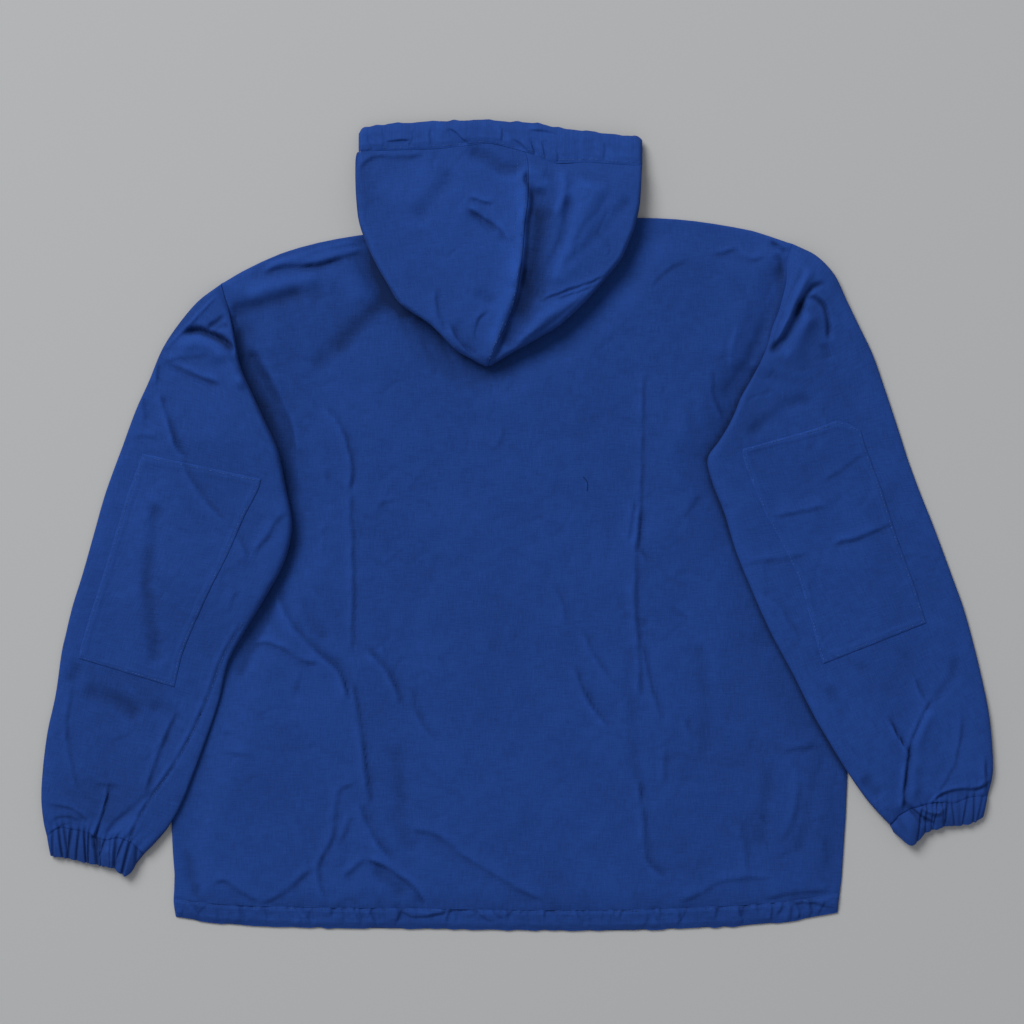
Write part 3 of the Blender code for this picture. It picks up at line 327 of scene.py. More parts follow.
BACK_CREASES = creases("""
    # Valleys beside the sleeves
    fold -1.8 6  236,326 244,358 257,388 270,414 283,444 293,500
    step -1.3 4  252,344 264,366 279,394 291,424 298,458
    step 0.7 3  246,346 257,370 267,388 278,410
    fold -1.8 6  296,530 280,578 262,620 236,680
    fold -1.0 6  776,262 779,284 769,312 757,344 744,368 722,402
    # Left shoulder
    fold 1.4 6  376,245 346,249 320,254 296,259 264,268
    step 1.8 4  378,249 352,255 330,261 306,266 282,267 262,274
    step 0.7 2.6  366,243 345,246 322,250 300,257
    fold 2.4 9  322,276 300,281 275,288 245,298
    fold -1.7 7  220,318 240,311 261,304 306,290
    fold -1.4 15  228,326 262,312 290,299 328,286
    step 1.2 3  222,312 233,318 241,330
    step 1.0 3  213,322 228,320 243,312
    # Beside the hood and the right armhole
    fold -1.3 10  386,300 368,320 350,338 331,352 314,376
    fold -2.0 10  398,314 386,292 372,268 358,232
    fold 1.0 12  358,272 358,292 362,306
    fold -3.0 8  391,262 390,280 388,294 382,306
    step 0.5 3  649,290 658,279 668,271 690,258
    fold -1.6 2.6  769,240 777,246 789,255
    fold -1.2 3  772,254 780,262 784,280
    step 0.7 3  706,257 722,253 736,251 747,259 771,256
    step 0.8 2.6  711,368 712,388 716,404 727,424
    fold -0.5 6  690,396 692,420 698,446
    step -0.5 3.4  735,322 729,348 727,372
    step 0.5 4  702,492 690,508 679,522
    # The long crease down the left of the panel
    step 1.2 3  324,406 343,430 350,450 353,466 350,494
    step 0.9 3  351,492 353,530 354,575 354,606 352,655
    step 1.2 3  352,680 360,720 365,760 371,808
    step 1.2 2.8  359,800 369,826 379,844 398,864
    # The long crease down the right of the panel
    step 0.6 3  644,372 643,430 642,470 640,512 636,552
    step 0.9 3.6  640,505 636,560 636,610 639,655 640,700
    step 0.6 2.6  634,496 631,520 627,548
    step 0.7 2.6  638,547 643,556 650,566
    fold -0.6 7  634,640 632,690 635,740 639,800
    step 0.9 3.0  638,776 644,820 650,864 668,880
    step 0.8 2.6  642,640 649,678 655,700 664,724
    # Slanting folds below the left sleeve
    step 1.6 3.0  274,588 297,630 318,653 340,672 350,704
    fold -0.9 7  302,594 313,622 332,644
    step 1.1 3.2  249,645 268,643 286,650 303,660 322,664
    step 1.4 2.8  366,649 384,667 395,685 402,710
    step 0.6 2.6  380,642 385,650 388,660
    step 0.7 3  410,686 418,714 430,734 442,747
    step 0.5 4  222,751 240,753 262,758
    step 0.4 3  222,732 238,733
    step 0.4 3  325,526 325,564
    step 0.4 3  376,506 398,499
    # Slanting folds right of the middle
    step 0.7 2.6  582,630 598,662 620,692
    step 1.1 2.4  573,664 585,694 598,714 612,730
    step 0.5 3  553,586 563,605 569,628
    step 0.5 3  670,603 692,622
    step 0.6 3  684,717 693,743
    step 0.6 3  665,745 665,788
    # Lower right
    step 0.6 4  776,751 800,747 832,745
    step 0.6 4  798,764 798,795 791,822 781,843
    step 0.6 3  757,813 767,829
    step 0.5 4  739,816 745,850 748,884
    step 0.6 4  822,835 826,868
    step 0.7 4  677,902 700,893 715,883 740,878 774,877
    step 0.8 4  762,898 790,893 832,890
    fold -0.6 7  770,762 765,800 758,850
    fold -0.5 6  814,770 808,812 796,856
    fold -0.5 7  700,640 706,700 704,760
    # Above the hem
    step 0.8 2.8  357,783 341,788 337,806 334,832 324,856
    step 0.9 3  328,846 319,864 321,884 329,904
    step 0.7 3  352,812 346,830 340,846
    fold -1.0 8  398,742 402,790 404,832 417,856
    step 1.0 4  410,829 438,835 460,852 512,884 545,902
    step 1.5 3  366,857 388,868 412,884 430,906
    fold -1.2 6  372,866 390,880 408,898
    step 0.7 4  342,878 354,868 368,855
    step 0.8 3.4  212,883 225,880 240,890 263,905
    step 0.7 3.4  259,904 283,893 300,878 316,865
    fold -0.8 6  184,846 193,878 201,903
""")
HEM_CREASES = creases("""
    step 0.7 3  298,905 306,915 314,926
    step 0.8 3  394,908 417,916 442,912 468,908 494,924
    step 0.7 3  648,902 655,914 662,928
    step 0.6 3  232,900 241,910 246,922
    step 0.6 3  545,906 556,917 563,929
    step 0.6 3  735,903 741,914 752,924
    step 0.7 3  783,903 806,902 837,908
    step 0.6 3  185,897 196,908 203,920
""")
# Where the panel is lifted beside the armholes, to meet the sleeves. At the shoulders'
# corners the sleeves are lifted too, and a small notch is left above the front panel.
ARMHOLE_LIFTS = creases("""
    fold 2.0 34  219,263 235,365
    fold 2.0 36  801,209 763,379
""")
LOOSE_THREAD = [(583, 477), (587, 482), (587, 491)]
LEFT_SLEEVE_CREASES = creases("""
    # Round the armhole
    fold 0.9 2.2  222,293 205,310 187,328 160,354
    fold -0.6 6  212,291 190,311 172,332 156,356
    fold -4.2 3.4  182,335 197,331 212,335 227,343 238,356
    fold -1.6 3  208,330 217,324 228,315
    fold -1.2 3  216,330 224,327 232,330
    fold 3.2 7  176,349 198,343 217,349 232,365 248,392
    step 0.9 4  163,362 186,358 214,356
    step 1.3 4  165,360 180,368 200,377 226,386
    # Above the patch
    step 0.9 3  159,362 157,388
    step 1.5 3  160,392 171,425 181,452 192,464
    step 0.8 3  142,396 147,427
    step 0.9 3  131,438 149,436 164,441
    # On and beside the patch
    fold -1.2 7  158,500 154,545 149,592 152,620 159,668
    step 0.9 3  182,458 192,480 204,497 216,512 230,525
    step 0.7 3  239,535 251,562
    step 0.9 3.4  291,512 282,517 270,535 260,548 255,563
    step 0.6 3  237,588 231,613
    # Below the patch
    fold -1.3 9  82,689 110,697 130,708 143,721
    fold -0.9 7  148,704 170,710 177,724
    step 0.5 3  74,684 68,720 69,745 80,794
    fold -0.9 8  68,684 82,662
    # The underarm seam and the crease beside it
    seam 1.2 2.4  244,622 224,657 209,697 196,727 178,760 141,816 129,844
    step 1.0 3.4  179,708 163,745 146,794
    # Gathered into the cuff
    step 1.1 1.4  110,778 107,800 101,821 92,844
    step 0.7 2.4  90,781 124,786
    step 0.6 3  46,803 62,805 78,811 92,824
    step 0.6 3  48,822 66,815 84,820
    step 0.5 3  52,834 64,824 74,822
    fold -0.8 3  158,786 140,803 125,815 103,838
    fold 1.3 8  146,820 128,828 116,842
""")
UNDERARM = next(crease.path for crease in LEFT_SLEEVE_CREASES if crease.kind == SEAM)
RIGHT_SLEEVE_CREASES = creases("""
    # Round the armhole
    fold -1.3 2.4  804,268 791,292 780,318 771,348
    fold 2.4 5  812,268 797,292 784,322 775,346
    fold -2.6 2.6  828,284 814,287 805,295 799,306 793,322
    fold -4.4 4.4  804,296 797,314 788,332 778,345 767,356
    fold 2.2 7  811,311 799,340 782,366
    fold -2.0 2.4  798,299 813,299 823,306 827,320 828,344
    fold -1.0 6  823,343 829,362
    # Above the patch
    fold -1.1 7  744,437 769,420 790,404 816,400
    # On the patch
    step 0.6 4  770,516 800,512 829,506
    step 0.9 3  828,546 850,540 870,533 896,522
    step 0.6 3  740,563 766,561 790,558 812,552
    step 0.4 3  868,449 845,467 819,485
    # Beside and below the patch
    step 0.7 3.4  752,592 775,602 788,622 802,645
    step 0.3 3  762,560 765,604
    fold -0.9 6  825,681 838,705 846,723
    # Gathered into the cuff
    fold -0.9 4.4  956,652 951,680 940,694 928,704
    step 1.1 1.8  932,695 922,713 913,732 907,748
    step 1.7 1.9  910,738 907,752 905,768 903,784 901,812
    fold 1.0 6  934,706 918,736 915,770 913,800
    step 1.1 2.0  914,676 919,692 929,708
    step 1.6 1.4  885,714 896,733 910,758
    step 0.6 3  962,712 957,750 948,775 932,796
    step 1.5 2.0  928,803 940,793 955,789 978,787 992,778
    step 1.2 2.4  983,755 985,778 984,802
    fold -1.0 6  918,764 920,804
    fold -0.9 6  858,776 882,797
    fold -1.6 2.4  900,800 911,809 920,818
    fold 1.6 6  930,796 942,806
""")
RIGHT_CUFF_CREASES = creases("""
    fold -2.4 2.0  901,800 912,810 922,817 938,826
    fold -1.3 2.2  908,804 915,815 924,826
    fold 1.8 3  930,806 938,812 944,822
    fold 2.2 2.4  918,803 927,810 938,811 945,804
    fold -0.8 3  893,812 901,826 910,838
""")
LEFT_CUFF_CREASES = creases("""
    fold -1.8 3.4  92,832 97,841 99,852
    fold 1.4 4  106,846 113,853 116,864
    fold -1.0 2.4  120,842 119,856 122,868
""")
HOOD_CREASES = creases("""
    # Centre ridge, which falls away to its right
    fold 1.4 15  527,165 527,200 520,262 505,318 487,368
    fold -2.8 12  536,186 541,215 540,248 537,268 530,298 517,326 503,350
    step 2.4 4.6  527,168 524,182 530,195 527,226 526,248 522,272 518,292
    step 2.4 4.6  523,262 518,294 509,322 497,350 488,372
    # Right half
    fold -1.5 5  545,168 554,188 555,204 538,226
    fold 1.8 6  562,168 563,195 550,222
    fold -1.6 6  572,196 562,240 549,268 536,306
    fold 2.0 14  596,180 585,215 568,262 556,290
    fold -0.6 4.5  614,184 603,204 590,222 572,252
    fold -0.7 6  631,196 612,222 590,244 561,272
    step 0.9 2.4  630,257 602,279 569,291 536,303
    step 0.7 2.4  626,266 600,285 574,295 552,301
    fold 2.2 7  598,288 570,304 544,321 511,349
    step 1.2 4  550,326 532,339 515,350
    # Left half
    step 0.9 4  354,174 374,160 397,159 426,156
    fold -1.2 8  455,170 439,195 427,208 419,226
    step 1.9 3.2  466,208 480,218 492,226 504,236 510,248
    step 1.2 2.6  468,198 482,204 496,207
    fold -1.4 7  472,210 484,220 500,234
    step 0.6 4  437,288 438,313 447,334
    step 1.4 4  448,324 463,347 480,365
    step 0.6 3  490,309 477,324 473,342
    fold -0.8 6  472,292 500,308
    fold -2.0 7  466,150 484,158 502,168 526,176
""")
# Painted shade in and beside folds and over broad areas, and on the hood painted light along its
# ridge and over broad areas: shades, not heights
HOOD_PAINTED_LIGHT_AND_SHADE = creases("""
    fold -0.3 13  360,166 366,190 374,216
    fold -0.8 9  534,202 539,226 534,250 531,272 527,298 515,324
    fold 0.4 5  521,186 520,225 516,256 510,290 500,320 488,352
    fold 0.14 80  400,160 470,250 480,330
    fold 0.12 50  590,180 580,230 540,290
""")
BACK_PAINTED_SHADE = creases("""
    fold -1.1 6  372,254 380,276 388,292 397,305 412,320
    fold -0.6 9  392,284 384,298 370,312 354,324 344,342 334,356
    fold -0.8 4  777,258 780,268 781,287 776,313 769,343 764,360
    fold -0.22 50  270,320 310,320 350,320
    fold -0.17 60  750,620 780,740 760,850
""")
LEFT_SLEEVE_PAINTED_SHADE = creases("""
    fold -0.4 9  214,288 196,302 174,328 160,352 150,374
    fold -0.35 6  150,540 149,592 153,625 158,650
    fold -0.17 50  200,430 180,560 150,640
    fold -0.36 55  130,660 110,730 95,830
""")
CASING_CREASES = creases("""
    step 0.5 2.4  432,126 430,138 433,150
    step 0.4 2.4  414,128 412,140 408,152
    step 0.6 2.4  498,124 502,134 500,144
    step 0.8 2.2  510,138 519,144 529,156
    step 0.5 2.4  366,136 371,148 370,158
    step 0.9 2.6  384,143 412,142
    step 1.2 3  448,128 458,137 470,147
    step 0.8 2.2  526,132 543,133 560,136
    step 0.8 2.2  527,139 533,150 536,166
    step 0.7 2.0  541,142 544,152 545,166
    step 0.5 2.2  554,148 557,156 556,168
    step 0.4 2.6  380,126 384,140 383,152
    step 0.4 2.6  600,138 604,152 602,166
""")
FRONT_CREASES = creases("""
    fold 0.7 6  330,420 352,540 356,690 372,850
    fold 0.7 6  640,400 636,560 634,720 650,860
    fold 0.7 8  420,660 470,760 560,860
    fold 0.6 7  720,420 700,520 690,640
    fold 0.6 7  250,700 300,780 310,880
""")


def smooth_step(value):
    """0 below 0, 1 above 1, and an even slope between."""
    value = np.clip(value, 0.0, 1.0)
    return value * value * (3.0 - 2.0 * value)


def smooth_curve(at, stations, values):
    """Values at the given places on a smooth curve through the known stations."""
    at = np.clip(at, stations[0], stations[-1])
    slopes = np.gradient(values, stations)
    left = np.clip(np.searchsorted(stations, at) - 1, 0, len(stations) - 2)
    span = stations[left + 1] - stations[left]
    part = (at - stations[left]) / span
    rise = values[left + 1] - values[left]
    start = slopes[left] * span - rise
    end = rise - slopes[left + 1] * span
    line = values[left] + part * rise
    return line + part * (1 - part) * (start * (1 - part) + end * part)


def soft_floor(value, softness=0.4):
    """The value where it is above zero, easing to zero below."""
    return (value + np.sqrt(value * value + softness)) / 2.0


def bell(value, width):
    """1 where a value is 0, falling away to both sides over the given width."""
    return np.exp(-((value / width) ** 2))


def between(start, end, part):
    """The value that lies a fraction of the way from a start to an end."""
    return start * (1.0 - part) + end * part


def stacked(*columns):
    """Arrays side by side in a new last axis, after stretching them to one shape."""
    return np.stack(np.broadcast_arrays(*columns), axis=-1)


def by_section(at, column):
    """A table column's smooth value at a section number, whole or not."""
    return smooth_curve(at, np.arange(len(column), dtype=float), column)


def rolled(depth, radius):
    """A rolled edge's share of its full height, by depth inside the edge."""
    out = 1.0 - np.clip(depth / radius, 0.0, 1.0)
    return np.sqrt(1.0 - out * out)


def edge_round(across, sharpness):
    """How much of its height a flattened tube has, from 0 at its edges to 1."""
    return np.sqrt(np.clip(1.0 - np.abs(2.0 * across - 1.0) ** sharpness, 0.0, 1.0))


def soft_noise(x, y, size, seed):
    """Smooth noise from -1 to 1 whose bumps are about `size` apart."""
    grid = np.random.default_rng(seed).uniform(-1.0, 1.0, (64, 64))
    column, row = np.floor(x / size), np.floor(y / size)
    part_x, part_y = smooth_step(x / size - column), smooth_step(y / size - row)
    column, row = column.astype(int), row.astype(int)

    def at(down, right):
        return grid[(row + down) % 64, (column + right) % 64]

    low = between(at(0, 0), at(0, 1), part_x)
    high = between(at(1, 0), at(1, 1), part_x)
    return between(low, high, part_y)


def crumple(x, y, seed):
    """The slight unevenness of canvas that has been folded and long used."""
    turned_x, turned_y = 0.8 * x - 0.6 * y, 0.6 * x + 0.8 * y
    wrinkles = soft_noise(0.6 * turned_x, turned_y, 15.0, seed + 3)
    some = smooth_step(0.3 + 1.2 * soft_noise(x, y, 33.0, seed + 4))
    return (
        0.55 * soft_noise(x, y, 46.0, seed)
        + 0.36 * soft_noise(turned_x, turned_y, 19.0, seed + 1)
        + 0.20 * soft_noise(x, y, 8.0, seed + 2)
        - 0.45 * some * bell(wrinkles, 0.15)
    )


def from_chart(path):
    """Points of the chart in the part's frame."""
    points = np.array(path, float)
    return stacked(points[:, 0] - CHART_X, CHART_Y - points[:, 1])


def curve_through(points, step):
    """Points about a step apart on a smooth curve through a few points."""
    gaps = np.hypot(*np.diff(points, axis=0).T)
    at = np.concatenate([[0.0], np.cumsum(gaps)])
    run = np.linspace(0.0, at[-1], max(3, int(at[-1] / step) + 1))
    return np.stack([smooth_curve(run, at, column) for column in points.T], axis=-1)


def along_and_aside(x, y, run):
    """How far along a run of points each place is, from 0 to 1, and how far to its left."""
    nearest = np.full(x.shape, np.inf)
    along, aside = np.zeros(x.shape), np.zeros(x.shape)
    steps = np.hypot(*np.diff(run, axis=0).T)
    starts = np.concatenate([[0.0], np.cumsum(steps)])
    for start, step, (ax, ay), (bx, by) in zip(starts, steps, run, run[1:]):
        way_x, way_y = (bx - ax) / step, (by - ay) / step
        part = np.clip((x - ax) * way_x + (y - ay) * way_y, 0.0, step)
        off_x, off_y = x - ax - part * way_x, y - ay - part * way_y
        distance = np.hypot(off_x, off_y)
        closer = distance < nearest
        nearest = np.where(closer, distance, nearest)
        along = np.where(closer, (start + part) / starts[-1], along)
        side = np.sign(way_x * off_y - way_y * off_x)
        aside = np.where(closer, side * distance, aside)
    return along, aside


def rough(x, y, seed):
    """How far a crease strays from its line, in long and short bends."""
    return soft_noise(x, y, 13.0, seed) + 0.8 * soft_noise(x, y, 5.0, seed + 10)


def relief(x, y, creases):
    """Height that a table of creases adds at each point."""
    total = np.zeros(x.shape)
    for crease in creases:
        run = curve_through(from_chart(crease.path), 4.0)
        reach = 6.0 * crease.width
        low, high = run.min(axis=0) - reach, run.max(axis=0) + reach
        near = (x > low[0]) & (x < high[0]) & (y > low[1]) & (y < high[1])
        if not near.any():
            continue
        near_x, near_y = x[near], y[near]
        stray = 0.0 if crease.kind == SEAM else STRAY / (0.5 + abs(crease.height))
        strayed_x = near_x + stray * rough(near_x, near_y, 71)
        strayed_y = near_y + stray * rough(near_x, near_y, 72)
        along, aside = along_and_aside(strayed_x, strayed_y, run)
        uneven = 1.0 + 0.5 * soft_noise(near_x, near_y, 5.0 + 3.0 * crease.width, 73)
        length = np.hypot(*np.diff(run, axis=0).T).sum()
        fade = min(CREASE_FADE / length, 0.3)
        taper = smooth_step(along / fade) * smooth_step((1.0 - along) / fade)
        out = aside / crease.width
        scale = FOLD_RELIEF
        if crease.kind == FOLD:
            shape = np.exp(-out * out)
        elif crease.kind == SEAM:
            scale = 1.0
            shape = 0.6 * bell(out + 1.6, 1.1) - bell(out, 0.6)
        else:
            scale = STEP_RELIEF
            out = out / STEP_SHARPNESS
            chord = run[-1] - run[0]
            falls_left = -chord[1] - chord[0] > 0.0
            toward = -out if falls_left else out
            shape = toward * np.exp(-np.sqrt(toward * toward + 0.05) / 1.2)
            shape = shape - 0.3 * bell(toward + 0.6, 0.8)
        total[near] += scale * crease.height * uneven * taper * shape
    return total


def faint_creases(seed, count, low, high):
    """Short faint creases strewn over the chart between two corners."""
    places = np.random.default_rng(seed)
    strewn = []
    for _ in range(count):
        x, y = places.uniform(low[0], high[0]), places.uniform(low[1], high[1])
        turn, length = places.uniform(-1.2, 1.2), places.uniform(9.0, 26.0)
        bend = places.uniform(-0.12, 0.12) * length
        reach_x, reach_y = math.sin(turn) * length, math.cos(turn) * length
        middle = (x + bend * math.cos(turn), y - bend * math.sin(turn))
        path = [(x - reach_x, y - reach_y), middle, (x + reach_x, y + reach_y)]
        strewn.append(Crease(STEP, places.uniform(0.08, 0.28), 3.4, path))
    return strewn


def depth_inside(x, y, outline):
    """Distance from each point to a closed outline, above zero inside it."""
    nearest = np.full(x.shape, np.inf)
    inside = np.zeros(x.shape, bool)
    for (ax, ay), (bx, by) in zip(outline, np.roll(outline, -1, axis=0)):
        run_x, run_y = bx - ax, by - ay
        run = run_x * run_x + run_y * run_y
        if run == 0.0:
            continue
        along = np.clip(((x - ax) * run_x + (y - ay) * run_y) / run, 0.0, 1.0)
        nearest = np.minimum(nearest, np.hypot(x - ax - along * run_x, y - ay - along * run_y))
        if ay != by:
            crosses = (ay > y) != (by > y)
            inside ^= crosses & (x < ax + (y - ay) * run_x / run_y)
    return np.where(inside, nearest, -nearest)


def side_x(y, side):
    """X of the panels' left or right side at a height on the garment."""
    return smooth_curve(y, BODY_SIDES.y, getattr(BODY_SIDES, side))


def shoulder_y(across, neck_drop):
    """Y of a panel's upper edge, a fraction of the way across, with its neckline."""
    x = SHOULDER_LINE.x
    at = x[0] + (x[-1] - x[0]) * across
    line = smooth_curve(at, x, SHOULDER_LINE.y)
    neck = np.clip((at - NECK_LEFT) / (NECK_RIGHT - NECK_LEFT), 0.0, 1.0)
    return line - neck_drop * 4.0 * neck * (1.0 - neck)


def hem_y(across):
    """Y of a panel's hem, a fraction of the way across."""
    x = HEM_LINE.x
    return smooth_curve(x[0] + (x[-1] - x[0]) * across, x, HEM_LINE.y)


def panel_plan(across, up, neck_drop):
    """Where a point of a body panel lies, by fractions across it and up it."""
    y = between(hem_y(across), shoulder_y(across, neck_drop), up)
    left = side_x(y, "left")
    return left + (side_x(y, "right") - left) * across, y


def panel_outline(neck_drop):
    """The panel's outline as a closed run of points."""
    run = np.linspace(0.0, 1.0, 29)
    zero, one = np.zeros_like(run), np.ones_like(run)
    across = np.concatenate([run, one, run[::-1], zero])
    up = np.concatenate([zero, run, one, run[::-1]])
    return stacked(*panel_plan(across, up, neck_drop))


def sleeve_outline(rows):
    """The closed outline of a sleeve, without its short first stretch at the armhole."""
    outer = stacked(rows.outer_x, rows.outer_y)[1:]
    inner = stacked(rows.inner_x, rows.inner_y)[1:]
    return np.concatenate([outer, inner[::-1]])


def hood_outline():
    """The closed outline of the folded hood with its casing."""
    left = stacked(HOOD_SECTIONS.left_x, HOOD_SECTIONS.left_y)
    right = stacked(HOOD_SECTIONS.right_x, HOOD_SECTIONS.right_y)
    top = stacked(CASING_SECTIONS.x, CASING_SECTIONS.top_y)
    return np.concatenate([left[::-1], top, right])


# Painted shadow on the panel beside each thing that lies on it: how dark and how far out, and how
# dark the painted contact shadow at its edge, by the height on the garment beside the sleeves and
# by the distance to the right beside the hood
SHADE_COLUMNS = "at amount reach contact"
PAINTED_CONTACT_SHADOW_REACH = 3.4
PAINTED_SHADE_BESIDE_LEFT_SLEEVE = table(SHADE_COLUMNS, """
    -155 0 10 0; -110 0.5 10 0; -75 0.5 12 0.2; -20 0.5 12 0.3; 40 0.7 14 0.3; 105 1.4 27 0
    160 1.4 25 0; 215 0.8 12 0
""")
PAINTED_SHADE_BESIDE_RIGHT_SLEEVE = table(SHADE_COLUMNS, """
    -250 0.3 8 3.0; -190 0.3 8 2.6; -150 0.3 8 2.0; -75 0.3 8 2.0; 0 0.4 8 2.4; 70 0.8 11 2.4
    110 0.9 13 2.2; 160 0.9 15 2.0; 180 0.6 12 0
""")
PAINTED_SHADE_BESIDE_HOOD = table(SHADE_COLUMNS, """
    -165 0.7 10 1.0; -135 0.9 12 1.2; -118 1.5 20 0.4; -100 1.5 26 0.5; -75 1.5 26 0.8
    -25 1.2 22 0.4; 20 0.5 16 0.2; 60 0.2 12 0
""")

BODY_OUTLINE = panel_outline(NECK_DROP_BACK)
STREWN_CREASES = faint_creases(81, 44, (290, 330), (760, 890))
PANEL_LENGTH = float(shoulder_y(0.5, 0.0) - hem_y(0.5))
HEM_SHARE = HEM_WIDTH / PANEL_LENGTH
COVERS = [sleeve_outline(LEFT_SLEEVE), sleeve_outline(RIGHT_SLEEVE), hood_outline()]
HOOD_OUTLINE = COVERS[-1]


def back_smooth(x, y):
    """The back panel's upper side without creases, how deep inside it and how bare."""
    inside = depth_inside(x, y, BODY_OUTLINE)
    bare = np.min([-depth_inside(x, y, cover) for cover in COVERS], axis=0)
    puff = PUFF * smooth_step(inside / PUFF_REACH) * smooth_step(bare / PUFF_REACH)
    return FLAT_TOP + puff + relief(x, y, ARMHOLE_LIFTS), inside, bare


def painted_cover_shade(x, y):
    """How much darker the panel is painted beside the sleeves and the hood, as their shadows, in
    streaks along them.
    """
    tables = (PAINTED_SHADE_BESIDE_LEFT_SLEEVE, PAINTED_SHADE_BESIDE_RIGHT_SLEEVE, PAINTED_SHADE_BESIDE_HOOD)
    streaks = 1.0 + 0.35 * soft_noise(0.9 * x + 0.42 * y, 0.12 * (0.42 * x - 0.9 * y), 4.5, 76)
    most = np.zeros(x.shape)
    for cover, shades, key in zip(COVERS, tables, (y, y, x)):
        out = np.clip(-depth_inside(x, y, cover), 0.0, None)
        reach = np.interp(key, shades.at, shades.reach)
        wide = np.interp(key, shades.at, shades.amount) * bell(out, reach)
        narrow = np.interp(key, shades.at, shades.contact) * bell(out, PAINTED_CONTACT_SHADOW_REACH)
        most = np.maximum(most, wide * streaks + narrow)
    return most


def back_top(x, y):
    """Upper side of the back panel, with its creases where it is bare."""
    smooth, inside, bare = back_smooth(x, y)
    creased = relief(x, y, BACK_CREASES + STREWN_CREASES) + crumple(x, y, 1)
    clear = smooth_step((bare + 4.0) / 12.0)
    sunk = smooth_step((bare + 12.0) / 8.0)
    creased = np.where(creased > 0.0, creased * clear, creased * sunk) * smooth_step(inside / 8.0)
    sleeves = np.min([-depth_inside(x, y, cover) for cover in COVERS[:2]], axis=0)
    lowest = np.where(x < 0.0, SEAM_LEFT, SEAM_RIGHT)
    at_seam = smooth_step((y - lowest) / 14.0)
    rise = SEAM_RISE * at_seam * np.exp(-np.clip(sleeves, 0.0, None) / 9.0)
    full = FLAT_TOP + soft_floor(smooth - FLAT_TOP + creased) + rise
    edge = HEM_EDGE + (full - CLOTH - HEM_EDGE) * at_seam * (sleeves < 30.0)
    # Painted shade in troughs, along the shade bands and beside the sleeves and hood; paler wear on
    # ridges
    shade = crease_wear_and_shade(creased) + relief(x, y, BACK_PAINTED_SHADE) - painted_cover_shade(x, y)
    return edge + (full - edge) * rolled(inside + 0.05, EDGE_ROLL), shade


def ground(x, y, ramp):
    """What a sleeve or the hood lies on: the surface, or the back panel and a gap."""
    smooth, inside, _ = back_smooth(x, y)
    return (smooth + REST_GAP) * smooth_step((inside + ramp.end) / (ramp.end - ramp.start))


def with_margins(length, count):
    """Fractions along a length: close together at both ends and even between."""
    inner = np.linspace(MARGIN[-1] * 1.6, length - MARGIN[-1] * 1.6, count - 2 * len(MARGIN))
    return np.concatenate([MARGIN, inner, (length - MARGIN)[::-1]]) / length


def set_inputs(node, values):
    """Set a node's inputs, by their names."""
    for name, value in values.items():
        node.inputs[name].default_value = value


def add_object(name, data):
    """A new object in the scene."""
    added = bpy.data.objects.new(name, data)
    bpy.context.scene.collection.objects.link(added)
    return added


